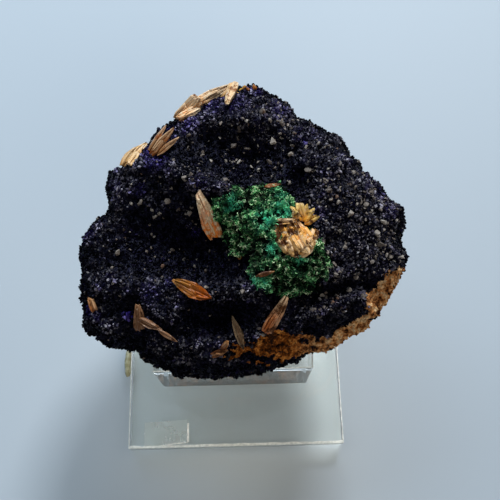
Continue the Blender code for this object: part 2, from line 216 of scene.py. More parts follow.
def blend_colours(tree, share, first, second):
    """Mixes two colours by share. For colours, the node's inputs are 0, 6 and 7."""
    return add_node(
        tree, "ShaderNodeMix", {0: share, 6: first, 7: second}, data_type="RGBA").outputs[2]


def calculate(tree, operation, first, second):
    """The result of one sum, such as ADD or MULTIPLY."""
    return add_node(tree, "ShaderNodeMath", {0: first, 1: second}, operation=operation).outputs[0]


def spread(tree, value, low, high, new_low=0.0, new_high=1.0):
    """Maps low..high smoothly to new_low..new_high and clamps outside."""
    return add_node(tree, "ShaderNodeMapRange", {
        "Value": value, "From Min": low, "From Max": high, "To Min": new_low, "To Max": new_high,
    }, interpolation_type="SMOOTHSTEP").outputs["Result"]


def colour_steps(tree, share, stops):
    """A colour ramp: stops are (place, (red, green, blue))."""
    ramp = add_node(tree, "ShaderNodeValToRGB", {"Fac": share})
    marks = ramp.color_ramp.elements
    for number, (place, colour) in enumerate(stops):
        mark = marks[number] if number < 2 else marks.new(place)
        mark.position, mark.color = place, (*colour, 1.0)
    return ramp.outputs["Color"]


def read(tree, name, channel="Fac"):
    """A number or vector that the mesh carries under this name."""
    return add_node(tree, "ShaderNodeAttribute", attribute_name=name).outputs[channel]


print("node helpers ready")

# %% [markdown]
# ## Shared effects
# Three effects come back in several finishes, so each is one node group with named sockets:
# **mineral grain** is the mottling of any natural surface, **stain** lets iron colour soak in
# by patches, and **crystal fibre** is the streaking that runs along a baryte blade. A group
# gives only colours and values; the Principled shader stays in each material.

# %% Start a node group with named sockets
def new_group(name, inputs, outputs):
    """A shader group: inputs are (label, kind, value), outputs are (label, kind)."""
    group = bpy.data.node_groups.new(name, "ShaderNodeTree")
    for label, kind, value in inputs:
        made = group.interface.new_socket(label, in_out="INPUT", socket_type=f"NodeSocket{kind}")
        made.default_value = value
    for label, kind in outputs:
        group.interface.new_socket(label, in_out="OUTPUT", socket_type=f"NodeSocket{kind}")
    source = group.nodes.new("NodeGroupInput")
    result = group.nodes.new("NodeGroupOutput")
    return group, source.outputs, result.inputs


def use_group(tree, group, inputs):
    """Places the group in a tree and gives its outputs."""
    return add_node(tree, "ShaderNodeGroup", inputs, node_tree=group).outputs


def fractal(group, place, scale, detail, roughness):
    """Cloudy noise about 0..1 at each place."""
    return add_node(group, "ShaderNodeTexNoise", {
        "Vector": place, "Scale": scale, "Detail": detail, "Roughness": roughness}).outputs[0]


def on_the_piece(group):
    """The place on the piece, in metres."""
    return add_node(group, "ShaderNodeTexCoord").outputs["Object"]


print("group helpers ready")

# %% Mineral grain
grain_group, given, result = new_group(
    "mineral_grain",
    [("Grains per Metre", "Float", 1500.0), ("Contrast", "Float", 0.5)],
    [("Value", "Float"), ("Height", "Float")],
)
CELL_DEPTH = 0.6  # how deep the gaps between grains go, against the cloudy noise
place = on_the_piece(grain_group)
cloud = fractal(grain_group, place, given["Grains per Metre"], 5.0, 0.65)
cells = add_node(
    grain_group, "ShaderNodeTexVoronoi", {"Vector": place, "Scale": given["Grains per Metre"]}
).outputs["Distance"]
off_middle = calculate(grain_group, "SUBTRACT", cloud, 0.5)
stretched = calculate(grain_group, "MULTIPLY", off_middle, given["Contrast"])
feed(grain_group, result["Value"], calculate(grain_group, "ADD", stretched, 0.5))
gaps = calculate(grain_group, "MULTIPLY", cells, CELL_DEPTH)
feed(grain_group, result["Height"], calculate(grain_group, "SUBTRACT", cloud, gaps))


def mottle(tree, grains, contrast):
    """Mineral grain in a material: its Value and its Height."""
    return use_group(tree, grain_group, {"Grains per Metre": grains, "Contrast": contrast})


print("mineral_grain:", len(grain_group.nodes), "nodes")

# %% Stain that soaks in by patches
stain_group, given, result = new_group(
    "stain",
    [("Color", "Color", (0.5, 0.4, 0.3, 1)), ("Stain Color", "Color", (0.1, 0.05, 0.02, 1)),
     ("Patches per Metre", "Float", 500.0), ("Amount", "Float", 0.3)],
    [("Color", "Color"), ("Mask", "Float")],
)
NO_STAIN_LEVEL, FULL_STAIN_DROP, SOFT_EDGE = 0.72, 0.45, 0.12  # in the noise's own 0..1
patches = fractal(stain_group, on_the_piece(stain_group), given["Patches per Metre"], 4.0, 0.6)
drop = calculate(stain_group, "MULTIPLY", given["Amount"], FULL_STAIN_DROP)
level = calculate(stain_group, "SUBTRACT", NO_STAIN_LEVEL, drop)
mask = spread(stain_group, patches, level, calculate(stain_group, "ADD", level, SOFT_EDGE))
feed(stain_group, result["Mask"], mask)
feed(stain_group, result["Color"], blend_colours(
    stain_group, mask, given["Color"], given["Stain Color"]))


def soak(tree, colour, stain_colour, patches, amount):
    """The colour with a stain soaked into it by patches."""
    return use_group(tree, stain_group, {
        "Color": colour, "Stain Color": (*stain_colour, 1), "Patches per Metre": patches,
        "Amount": amount})["Color"]


print("stain:", len(stain_group.nodes), "nodes")

# %% Crystal fibre along a blade
fibre_group, given, result = new_group(
    "crystal_fibre",
    [("Root Color", "Color", (0.5, 0.3, 0.1, 1)), ("Tip Color", "Color", (0.8, 0.6, 0.4, 1)),
     ("Line Color", "Color", (0.2, 0.08, 0.02, 1)), ("Lines", "Float", 0.5),
     ("Paleness", "Float", 0.4)],
    [("Color", "Color"), ("Height", "Float")],
)
PALE_FIBRE = (0.88, 0.63, 0.38, 1)
STREAKS_PER_MM = (0.30, 3.2, 1.0)  # along the blade, across it, and by its seed
along, rim, layer = (read(fibre_group, name) for name in ("reach", "rim", "layer"))
streak_place = add_node(fibre_group, "ShaderNodeMapping", {
    "Vector": read(fibre_group, "fibre", "Vector"), "Scale": STREAKS_PER_MM}).outputs[0]
streaks = fractal(fibre_group, streak_place, 1.0, 4.0, 0.7)
uneven = calculate(fibre_group, "MULTIPLY", calculate(fibre_group, "SUBTRACT", streaks, 0.5), 0.9)
body = blend_colours(
    fibre_group, spread(fibre_group, calculate(fibre_group, "ADD", along, uneven), 0.1, 0.9),
    given["Root Color"], given["Tip Color"])
pale = calculate(fibre_group, "MAXIMUM", spread(fibre_group, streaks, 0.52, 0.72),
                 spread(fibre_group, layer, 0.60, 0.95))
lit = blend_colours(fibre_group, calculate(fibre_group, "MULTIPLY", pale, given["Paleness"]),
                    body, PALE_FIBRE)
dark_layer = calculate(fibre_group, "MULTIPLY", spread(fibre_group, layer, 0.25, 0.0), 0.45)
shade = calculate(fibre_group, "MAXIMUM", spread(fibre_group, streaks, 0.47, 0.33), dark_layer)
lined = calculate(fibre_group, "MULTIPLY", shade, given["Lines"])
worn = calculate(fibre_group, "MULTIPLY", spread(fibre_group, rim, 0.80, 1.0), 0.40)
feed(fibre_group, result["Color"], blend_colours(
    fibre_group, calculate(fibre_group, "MAXIMUM", lined, worn), lit, given["Line Color"]))
feed(fibre_group, result["Height"], streaks)
print("crystal_fibre:", len(fibre_group.nodes), "nodes")

# %% A material with its Principled shader
def new_finish(name):
    """A node material, its tree and its shader."""
    finish = bpy.data.materials.new(name)
    finish.use_nodes = True
    tree = finish.node_tree
    return finish, tree, tree.nodes["Principled BSDF"]


def raise_bump(tree, shader, height, depth):
    """Feeds a height pattern to the shader's Normal; depth in millimetres."""
    bump = add_node(tree, "ShaderNodeBump", {
        "Height": height, "Distance": depth * MM, "Strength": 1.0})
    feed(tree, shader.inputs["Normal"], bump.outputs["Normal"])


print("finish helpers ready")

# %% [markdown]
# ## The rock under the crystals
# The rock's body is a copy of the CAD solid with its loose triangles merged, cut into small
# even faces by a voxel remesh, and then pushed in and out. Rounded lumps of three sizes and a
# little fine noise do that, so it is lumpy as botryoidal ore is. It is sunk a little, because
# the druse grows back over it. Sculpting it by hand would look as good, but noise can be
# changed later by one number.

# %% A finer copy of a CAD node
SAME_POINT = 0.001 * MM


def merged_copy(node, name):
    """A copy of the node's mesh with its loose triangles joined."""
    bm = bmesh.new()
    bm.from_mesh(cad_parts[node].data)
    bmesh.ops.remove_doubles(bm, verts=bm.verts, dist=SAME_POINT)
    bmesh.ops.recalc_face_normals(bm, faces=bm.faces)
    return link_object(name, mesh_of(bm, name))


def bake_modifiers(piece):
    """Turns what the modifiers make into the piece's own plain mesh, and removes them."""
    bpy.context.view_layer.update()
    graph = bpy.context.evaluated_depsgraph_get()
    piece.data = bpy.data.meshes.new_from_object(piece.evaluated_get(graph), depsgraph=graph)
    piece.modifiers.clear()
    return piece


def even_faces(piece, voxel):
    """The piece cut anew into faces about this many millimetres wide."""
    remesh = piece.modifiers.new("even faces", "REMESH")
    remesh.mode = "VOXEL"
    remesh.voxel_size = voxel * MM
    return bake_modifiers(piece)


ROCK_VOXEL = 0.42
rock_bed = even_faces(merged_copy("azurite_rock", "rock_bed"), ROCK_VOXEL)
bed_points = on_show_face(corners(rock_bed.data))
print("rock bed:", len(bed_points), "points")

# %% Push points in and out
def push_out(piece, amounts):
    """Moves each point along its normal by its amount in millimetres."""
    mesh = piece.data
    moved = corners(mesh) + read_rows(mesh, "normal") * (amounts * MM)[:, None]
    mesh.vertices.foreach_set("co", moved.astype(np.float32).ravel())
    mesh.update()


def facing_shares(piece):
    """How squarely each point of the piece faces out of the show face: 1 square, 0 edge on."""
    return read_rows(piece.data, "normal") @ np.array(show_face.to_3x3().normalized())[:, 2]


def lumps(points, size):
    """Rounded lumps, about 0 in their seams and 1 on top; size in millimetres."""
    return np.array([
        1.0 - noise.voronoi(Vector(p) / size, distance_metric="DISTANCE")[0][0] for p in points
    ])


def waves(points, size, octaves=3):
    """Smooth fractal noise about -1..1 at each point; size in millimetres."""
    roughness, finer = 0.9, 2.0
    return np.array([noise.fractal(Vector(p) / size, roughness, finer, octaves) for p in points])


def soft_step(low, high, value):
    """0 below low, 1 above high and smooth between; low may be the larger one."""
    share = np.clip((value - low) / (high - low), 0.0, 1.0)
    return share * share * (3.0 - 2.0 * share)


bed_u, bed_v, bed_w = bed_points.T
print("rock bed runs from w", round(bed_w.min(), 1), "to", round(bed_w.max(), 1), "mm")

# %% Lumps on the rock
SUNK = 0.28
MIDDLE_LUMP = 0.55  # lumps above this push the surface out, and those below pull it in
KNOB, COARSE, FINE = 1.1, 0.75, 0.45  # mm from the seams to the tops, by size of lump
GRIT = 0.25  # mm of fine noise, in or out
SWELL_AT, SWELL_REACH, SWELL = (-6.0, 21.5), (4.5, 2.5), 1.4  # the upper left rim is fuller
knobs, coarse, fine = (lumps(bed_points, size) - MIDDLE_LUMP for size in (3.6, 1.9, 1.0))
edge_on = soft_step(0.50, 0.15, np.abs(facing_shares(rock_bed))) * soft_step(-7.0, -4.0, bed_w)
knobs *= 1.0 - 0.60 * edge_on  # the outline that shows is smoother than the faces
rim_swell = SWELL * np.exp(-(
    ((bed_u - SWELL_AT[0]) / SWELL_REACH[0]) ** 2 + ((bed_v - SWELL_AT[1]) / SWELL_REACH[1]) ** 2))
push_out(rock_bed, KNOB * knobs + COARSE * coarse + FINE * fine + GRIT * waves(bed_points, 0.9)
         + rim_swell - SUNK)
print("knobs move it by", *(round(KNOB * float(end), 2) for end in (knobs.min(), knobs.max())), "mm")

# %% [markdown]
# ## Where each mineral lies
# Each point of the bed carries a few numbers: how much limonite shows there, how thick the
# druse is, how dusty or how blue it looks, how sheltered it lies in a hollow, and how pale its
# limonite is on the lit right side. The dust number is partly painted glints and partly painted
# light on the lit right slope, hollows that face up lose dust and blue as painted shade, and the
# paler limonite there is painted light. They are worked out from plain outlines and round spots
# drawn on the show face, with edges made ragged by noise. Node trees and materials then read
# them by name, so geometry and colour agree. Painting the numbers by hand would also do, but
# a list of spots is easier to correct.

# %% Outlines and soft edges
def side_of(points, outline):
    """Distance to the outline in millimetres, positive inside it."""
    u, v, _ = points.T
    nearest = np.full(len(u), np.inf)
    inside = np.zeros(len(u), bool)
    for (u0, v0), (u1, v1) in zip(outline, outline[1:] + outline[:1]):
        du, dv = u1 - u0, v1 - v0
        share = np.clip(((u - u0) * du + (v - v0) * dv) / (du * du + dv * dv), 0, 1)
        nearest = np.minimum(nearest, np.hypot(u - u0 - share * du, v - v0 - share * dv))
        crosses = (v0 > v) != (v1 > v)
        with np.errstate(divide="ignore", invalid="ignore"):
            inside ^= crosses & (u < (u1 - u0) * (v - v0) / (v1 - v0) + u0)
    return np.where(inside, nearest, -nearest)


def glow(points, spots):
    """The highest of some round soft spots, each (u, v, radius, strength)."""
    total = np.zeros(len(points))
    for u, v, radius, strength in spots:
        away = np.hypot(points[:, 0] - u, points[:, 1] - v) / radius
        total = np.maximum(total, strength * np.exp(-away**2))
    return total


RELIEF_HALF, RELIEF_CELL, RELIEF_REACH = 36, 0.5, 4.0  # mm: half the grid, its cells, "around"


def relief_of(points):
    """How far each point's spot on the rock stands above the rock around it, in millimetres."""
    grid = np.arange(-RELIEF_HALF, RELIEF_HALF, RELIEF_CELL)
    heights = np.array([[rock_height(u, v) for v in grid] for u in grid])
    wide = int(RELIEF_REACH / RELIEF_CELL)
    window = range(2 * wide + 1)
    padded = np.pad(heights, wide, mode="edge")
    around = sum(padded[i : i + len(grid), j : j + len(grid)] for i in window for j in window)
    stands = heights - around / len(window) ** 2
    rows, columns = (
        np.clip(((points[:, axis] - grid[0]) / RELIEF_CELL).round().astype(int), 0, len(grid) - 1)
        for axis in (0, 1)
    )
    return stands[rows, columns]


def carry(piece, name, values):
    """Stores one number for each point of the piece under this name."""
    kept = piece.data.attributes.new(name, "FLOAT", "POINT")
    kept.data.foreach_set("value", np.asarray(values, np.float32))


relief = relief_of(bed_points)
print("relief of the rock:", round(float(relief.min()), 1), "to", round(float(relief.max()), 1), "mm")

# %% Outlines of the minerals, as (u, v)
LIMONITE_BAND = [
    (21.5, -16.2), (24.5, -14.2), (27.0, -11.8), (30.0, -10.8), (33.0, -11.0), (31.0, -17.0),
    (27.5, -23.5), (21.0, -28.0), (12.0, -29.5), (11.5, -26.0), (14.0, -23.8), (19.0, -21.5),
    (23.5, -19.0),
]
LIMONITE_PATCH = [
    (12.5, -24.6), (9.5, -22.4), (6.0, -21.6), (2.6, -22.4), (0.4, -24.4), (-2.2, -24.6),
    (-2.4, -26.6), (1.0, -27.0), (4.5, -27.6), (8.5, -27.8), (12.5, -27.0),
]
MALACHITE_OUTLINE = [
    (14.7, -7.3), (13.3, -5.2), (11.5, -2.5), (10.2, -0.1), (9.2, 0.7), (8.6, 2.6),
    (6.5, 4.5), (4.4, 4.9), (2.5, 4.2), (0.4, 3.5), (-1.8, 3.7), (-3.5, 2.5),
    (-5.4, 2.5), (-6.2, 0.6), (-5.7, -1.7), (-3.9, -4.3), (-2.5, -6.9), (-1.4, -9.3),
    (2.0, -7.6), (0.4, -10.4), (1.0, -13.0), (3.1, -14.5), (5.6, -15.6),
    (9.1, -16.0), (12.5, -15.0), (14.9, -13.0), (15.4, -9.8),
]
print("malachite covers u", min(MALACHITE_OUTLINE)[0], "to", max(MALACHITE_OUTLINE)[0], "mm")

# %% Soft spots, as (u, v, radius, strength)
# Some dusty spots are dust, and some stand in for glints: painted highlights.
DUST_AND_GLINT_SPOTS = [
    (17.5, 12, 5, 0.9), (13.2, 16.6, 3.5, 1.0), (9, 20.5, 3, 0.9), (21, 7.5, 5, 1.0), (25, 1.5, 5, 0.9),
    (16, 8.6, 3.5, 0.9), (15.5, -2.5, 4, 1.0), (19.5, -5, 5, 1.0), (24, -6, 5, 0.9), (17, -11, 4, 0.8),
    (13.4, 3.6, 2.5, 0.9), (5.2, 14.5, 3, 1.0), (1, 15.5, 3, 0.7), (10.1, 10.8, 2, 0.8),
    (-7.4, 4.8, 2.2, 1.0), (-15.6, 3.7, 2, 0.8), (-10, 14, 3.5, 0.6), (-15.5, -14, 3, 0.6),
    (-4, -14.8, 2.5, 0.8), (20, -14.5, 4, 0.8), (14, -16.5, 4, 0.6), (6, -19, 3, 0.5),
    (-26, -8, 4, 0.35), (-24, -14, 3, 0.45), (-13, 20, 3, 0.4), (2, 22, 3, 0.7), (-8, 19, 4, 0.6),
    (-17, 9, 4, 0.5), (-3, 17, 4, 0.5),
]
BLUE_SPOTS = [
    (3.1, 24.2, 2.0, 1.0), (12, 12.6, 1.0, 0.9), (13.4, -1.3, 1.3, 1.0), (-7.4, 4.8, 1.6, 0.9),
    (-18.6, 4.7, 1.6, 0.6), (-29.6, -17.3, 1.3, 0.9), (-29.5, -3, 2.0, 0.6), (-17, -14.3, 2.2, 0.7),
    (-21.4, -18.3, 0.8, 1.4), (-8.8, -3.6, 0.9, 1.0), (-13.6, -12.4, 0.9, 0.9), (26.5, 3, 2, 0.8),
    (-14, 16, 2.5, 1.0), (-18, 13, 2.0, 1.2), (20, 11, 2.5, 0.6), (17, -8, 2.0, 0.4),
    (-27.6, -18.4, 1.2, 0.8), (5, -25, 1.5, 0.3), (-24, 6, 2.0, 0.5), (7, -18, 1.5, 0.4),
    (-6, 20.5, 2.5, 1.1), (-10, 17.5, 2.5, 1.1), (-16, 10, 2.5, 1.0), (-1, 21, 3.0, 0.9),
    (8, 20, 3, 0.7), (14, 15.5, 3, 0.5), (24, 7, 3, 0.5), (28, 0, 2.5, 0.6),
]
GRAINY_SPOTS = [
    (20, 2, 9, 1.0), (25, -6, 6, 0.9), (17, -10, 6, 0.7), (6, 14, 8, 0.6), (-4, 9, 7, 0.4),
    (-16, -4, 9, 0.22), (11, 20, 6, 0.45), (14, -16, 5, 0.6), (-10, 0, 5, 0.3),
]
print("spots:", len(DUST_AND_GLINT_SPOTS), "dusty,", len(BLUE_SPOTS), "blue,", len(GRAINY_SPOTS), "grainy")

# %% Limonite and druse on the bed
ragged = waves(bed_points, 2.2) * 0.9 + waves(bed_points, 0.7) * 0.35
in_patch = side_of(bed_points, LIMONITE_PATCH) + 1.5 * waves(bed_points, 1.2)
edge = np.maximum(side_of(bed_points, LIMONITE_BAND), in_patch)
wander = 3.5 * waves(bed_points, 7.0) + 2.0 * waves(bed_points, 2.6) + 0.8 * waves(bed_points, 0.9)
on_flank = soft_step(0.35, 0.0, facing_shares(rock_bed))
on_rim = soft_step(-0.4, 0.4, edge + ragged + on_flank * (wander - 0.5))
below = soft_step(-2.5, -4.5, bed_w + wander)
limonite = np.maximum(on_rim, below)
under_malachite = soft_step(0.2, 1.4, side_of(bed_points, MALACHITE_OUTLINE)) * (bed_w > 0)
patchy_below = soft_step(0.12, 0.34, waves(bed_points + 4.0, 3.4))  # + 4.0 takes other noise
islands = 0.75 * patchy_below * soft_step(-1.0, -3.0, bed_w)
druse = np.maximum(1.0 - soft_step(0.35, 0.7, limonite), islands) * (1.0 - under_malachite)
limonite *= 1.0 - soft_step(0.25, 0.6, islands)
push_out(rock_bed, 0.30 * limonite * waves(bed_points, 0.9))
carry(rock_bed, "limonite", limonite)
print("limonite shows on", round(100 * float(limonite.mean())), "% of the bed")

# %% Dust and painted glints, blue, and painted shade in hollows, on the bed
proud = soft_step(-0.50, 0.30, knobs + 0.6 * coarse)
patchy = soft_step(-0.30, 0.30, waves(bed_points, 1.3))
facing_up = soft_step(-8, 2, bed_w)
# Hollows that face up lose most of their dust and blue, so they stay dark: painted shade.
open_to_light = 1.0 - 0.95 * soft_step(0.2, -0.9, relief) * facing_up
on_ridges = 0.85 * soft_step(0.0, 0.7, relief)
# The right slope, where the light falls, gets up to half as much dust again: partly dust, partly painted
# light.
lit_right_slope = 1.0 + 0.5 * soft_step(5.0, 14.0, bed_u)
dust_and_glint = np.maximum(glow(bed_points, DUST_AND_GLINT_SPOTS) * lit_right_slope, on_ridges)
carry(rock_bed, "dust_and_glint", dust_and_glint * facing_up * open_to_light
      * (0.20 + 0.80 * proud) * (0.40 + 0.60 * patchy))
blue = np.maximum(glow(bed_points, BLUE_SPOTS), (0.25 + 0.55 * on_ridges) * proud * patchy)
carry(rock_bed, "blue", blue * facing_up * open_to_light)
carry(rock_bed, "sheltered", 1.0 - open_to_light)
# The lit right side, where the limonite is painted paler: painted light.
carry(rock_bed, "sunlit", soft_step(8.0, 17.0, bed_u) * soft_step(-7.0, -2.0, bed_w + wander)
      * (1.0 - 0.7 * on_flank * patchy))
carry(rock_bed, "druse", druse)
print("sheltered:", round(100 * float((open_to_light < 0.5).mean())), "% of the bed")

# %% [markdown]
# ## The look of the matrix
# Limonite is rusty iron ore: ochre where it is powdery, dark brown where it is dense, and
# pitted. On the right side, where the light falls, it is painted paler: painted light. Bare
# azurite crust is nearly black blue. Two materials would need a sharp border from face to
# face. One material holds both here and blends by the limonite number, so the border stays as
# ragged as the druse's edge.

# %% Matrix material
matrix_finish, tree, shader = new_finish("limonite_and_crust")
coarse_grain = mottle(tree, 620.0, 2.2)
fine_grain = mottle(tree, 2200.0, 1.2)
ochre = colour_steps(tree, coarse_grain["Value"], [
    (0.25, (0.0135, 0.0054, 0.0027)), (0.41, (0.12, 0.034, 0.006)), (0.56, (0.44, 0.125, 0.016)),
    (0.76, (0.85, 0.34, 0.070)),
])
# A paler ochre for the lit right side: painted light.
painted_lit_ochre = colour_steps(tree, coarse_grain["Value"], [
    (0.22, (0.045, 0.017, 0.008)), (0.37, (0.38, 0.13, 0.035)), (0.53, (0.88, 0.42, 0.14)),
    (0.72, (1.00, 0.68, 0.36)),
])
ochre = blend_colours(tree, read(tree, "sunlit"), ochre, painted_lit_ochre)
dense = spread(tree, fine_grain["Value"], 0.35, 0.65, 0.0, 0.5)
ochre = blend_colours(tree, dense, ochre, (0.05, 0.018, 0.006, 1))
rusty = soak(tree, ochre, (0.008, 0.004, 0.003), 950.0, 0.38)
crust = colour_steps(tree, fine_grain["Value"], [
    (0.3, (0.003, 0.003, 0.006)), (0.7, (0.010, 0.010, 0.030))])
limonite_here = read(tree, "limonite")
feed_all(tree, shader, {
    "Base Color": blend_colours(tree, spread(tree, limonite_here, 0.35, 0.65), crust, rusty),
    "Roughness": spread(tree, limonite_here, 0.3, 0.7, 0.45, 0.88),
    "Specular IOR Level": 0.12})
raise_bump(tree, shader, fine_grain["Height"], 0.15)
coat(rock_bed, matrix_finish)
print("matrix:", len(tree.nodes), "nodes")

# %% [markdown]
# ## The azurite druse
# Druse is a carpet of small crystals that stand up from the surface. Geometry Nodes suit it:
# scatter points so that no two are closer than a spacing, stand a crystal on each one, lean
# and turn it at random, and realise the result. Three low-cost crystal shapes are enough,
# because size, lean and turn hide the repeats. Each crystal has a few flat faces that catch
# the light one by one, which is what makes druse glitter. Its root is set into the rock.

# %% Crystal shapes, about one millimetre tall
def hull_mesh(name, points):
    """The closed convex shape round the points, in millimetres."""
    bm = bmesh.new()
    for point in points:
        bm.verts.new(Vector(point) * MM)
    made = bmesh.ops.convex_hull(bm, input=bm.verts)
    spare = {
        item for item in made["geom_interior"] + made["geom_unused"]
        if isinstance(item, bmesh.types.BMVert)
    }
    bmesh.ops.delete(bm, geom=list(spare), context="VERTS")
    bmesh.ops.recalc_face_normals(bm, faces=bm.faces)
    return mesh_of(bm, name)


SEAT = -0.35  # how deep the root goes, at z below 0
CRYSTALS = {
    "chisel": [
        (0.20, 0.16, SEAT), (-0.20, 0.16, SEAT), (0.20, -0.16, SEAT), (-0.20, -0.16, SEAT),
        (0.26, 0.20, 0.45), (-0.26, 0.20, 0.45), (0.26, -0.20, 0.45), (-0.26, -0.20, 0.45),
        (0.17, 0.02, 0.72), (-0.15, -0.03, 0.66)],
    "tablet": [
        (0.30, 0.08, SEAT), (-0.30, 0.08, SEAT), (0.30, -0.08, SEAT), (-0.30, -0.08, SEAT),
        (0.42, 0.09, 0.30), (-0.40, 0.10, 0.22), (0.42, -0.09, 0.34), (-0.40, -0.08, 0.26),
        (0.18, 0.05, 0.70), (-0.20, -0.05, 0.62)],
    "wedge": [
        (0.24, 0.0, SEAT), (-0.14, 0.22, SEAT), (-0.14, -0.22, SEAT),
        (0.34, 0.05, 0.32), (-0.20, 0.28, 0.28), (-0.18, -0.27, 0.36), (0.02, 0.0, 0.62)],
}


def hidden_shapes(name, meshes):
    """A collection of shapes for a tree to pick from. It stays out of the scene itself."""
    kept = bpy.data.collections.new(name)
    for number, mesh in enumerate(meshes):
        kept.objects.link(bpy.data.objects.new(f"{name}_{number}", mesh))
    return kept


crystal_shapes = hidden_shapes(
    "crystal_shapes", [hull_mesh(name, points) for name, points in CRYSTALS.items()])

# %% The scattering tree
def new_geometry_tree(name, inputs):
    """A geometry tree with these named inputs, and its input sockets and final socket."""
    tree = bpy.data.node_groups.new(name, "GeometryNodeTree")
    tree.interface.new_socket("Geometry", in_out="INPUT", socket_type="NodeSocketGeometry")
    tree.interface.new_socket("Geometry", in_out="OUTPUT", socket_type="NodeSocketGeometry")
    for label, kind in inputs:
        tree.interface.new_socket(label, in_out="INPUT", socket_type=f"NodeSocket{kind}")
    given = tree.nodes.new("NodeGroupInput").outputs
    result = tree.nodes.new("NodeGroupOutput").inputs
    return tree, given, result[0]


LAST_PICK = 60  # past the last shape, the count starts again at the first
SEED_SOCKET = 8
RANGE_SOCKETS = {"FLOAT_VECTOR": (0, 1, 0), "FLOAT": (2, 3, 1), "INT": (4, 5, 2)}


def random_value(tree, kind, least, most, seed):
    """A value drawn anew at each point. Each kind has its own inputs and output."""
    low, high, drawn = RANGE_SOCKETS[kind]
    return add_node(tree, "FunctionNodeRandomValue", {
        low: least, high: most, SEED_SOCKET: seed}, data_type=kind).outputs[drawn]


def carried(tree, name):
    """The number that each point of the piece carries under this name."""
    return add_node(tree, "GeometryNodeInputNamedAttribute", {"Name": name},
                    data_type="FLOAT").outputs["Attribute"]


def plant(tree, given, points, turn, size):
    """Sets one of the given shapes, picked at random, on each point."""
    shapes = add_node(tree, "GeometryNodeCollectionInfo", {
        "Collection": given["Shapes"], "Separate Children": True, "Reset Children": True})
    pick = random_value(tree, "INT", 0, LAST_PICK, given["Seed"])
    return add_node(tree, "GeometryNodeInstanceOnPoints", {
        "Points": points, "Instance": shapes.outputs[0], "Pick Instance": True,
        "Instance Index": pick, "Rotation": turn, "Scale": size}).outputs[0]


def finish_off(tree, planted, tint, finish, result):
    """Gives each shape its tint, makes plain faces of them all and sets their finish."""
    tinted = add_node(tree, "GeometryNodeStoreNamedAttribute", {
        "Geometry": planted, "Name": "tint", "Value": tint}, data_type="FLOAT", domain="INSTANCE")
    realised = add_node(tree, "GeometryNodeRealizeInstances", {0: tinted.outputs[0]})
    finished = add_node(tree, "GeometryNodeSetMaterial", {
        "Geometry": realised.outputs[0], "Material": finish})
    feed(tree, result, finished.outputs[0])
    print(f"{tree.name}:", len(tree.nodes), "nodes")


print("tree helpers ready")

# %% The tree that scatters over a surface
SIZE_SEED, TURN_SEED, TINT_SEED = 11, 5, 23
MORE_SMALL = 1.8  # a power over 1 makes small shapes more common than large ones
scatter_tree, given, result = new_geometry_tree("scatter_over_surface", [
    ("Shapes", "Collection"), ("Where", "String"), ("Spacing", "Float"),
    ("Per Square Metre", "Float"), ("Smallest", "Float"), ("Largest", "Float"),
    ("Lean", "Float"), ("Seed", "Int"), ("Finish", "Material"),
])
scattered = add_node(scatter_tree, "GeometryNodeDistributePointsOnFaces", {
    "Mesh": given["Geometry"], "Distance Min": given["Spacing"],
    "Density Max": given["Per Square Metre"], "Density Factor": carried(scatter_tree, given["Where"]),
    "Seed": given["Seed"]}, distribute_method="POISSON").outputs
chance = random_value(scatter_tree, "FLOAT", 0.0, 1.0, SIZE_SEED)
size_range = calculate(scatter_tree, "SUBTRACT", given["Largest"], given["Smallest"])
larger = calculate(scatter_tree, "MULTIPLY",
                   calculate(scatter_tree, "POWER", chance, MORE_SMALL), size_range)
size = calculate(scatter_tree, "ADD", given["Smallest"], larger)
lean = given["Lean"]
other_way = calculate(scatter_tree, "MULTIPLY", lean, -1.0)
least, most = (
    add_node(scatter_tree, "ShaderNodeCombineXYZ", {0: tilt, 1: tilt, 2: spin}).outputs[0]
    for tilt, spin in ((other_way, -math.pi), (lean, math.pi))
)
turn = add_node(scatter_tree, "FunctionNodeEulerToRotation", {
    0: random_value(scatter_tree, "FLOAT_VECTOR", least, most, TURN_SEED)})
standing = add_node(scatter_tree, "FunctionNodeRotateRotation", {
    0: scattered["Rotation"], 1: turn.outputs[0]}, rotation_space="LOCAL")
planted = plant(scatter_tree, given, scattered["Points"], standing.outputs[0], size)
tint = random_value(scatter_tree, "FLOAT", 0.0, 1.0, TINT_SEED)
finish_off(scatter_tree, planted, tint, given["Finish"], result)

# %% Run the tree over part of a surface
def part_of(piece, name, wanted):
    """A copy of the piece with only the faces whose points are all wanted."""
    bm = bmesh.new()
    bm.from_mesh(piece.data)
    bm.verts.ensure_lookup_table()
    drop = [bm.verts[int(i)] for i in np.flatnonzero(~wanted)]
    bmesh.ops.delete(bm, geom=drop, context="VERTS")
    return link_object(name, mesh_of(bm, name))


def run_tree(piece, tree, values):
    """Adds the tree as a modifier, sets its inputs by identifier, and keeps what it makes."""
    modifier = piece.modifiers.new(tree.name, "NODES")
    modifier.node_group = tree
    for item in tree.interface.items_tree:
        if item.in_out == "INPUT" and item.name in values:
            modifier[item.identifier] = values[item.name]
    return bake_modifiers(piece)


CROWDING = 0.9  # points tried for each square of one spacing; those too close are dropped


def grow(name, bed, wanted, shapes, where, spacing, sizes, lean, seed, finish):
    """Scatters shapes over the wanted part of a bed, spacing and sizes in millimetres."""
    return run_tree(part_of(bed, name, wanted), scatter_tree, {
        "Shapes": shapes, "Where": where, "Spacing": spacing * MM,
        "Per Square Metre": CROWDING / (spacing * MM) ** 2, "Smallest": sizes[0],
        "Largest": sizes[1], "Lean": math.radians(lean), "Seed": seed, "Finish": finish})


print("ready to grow")
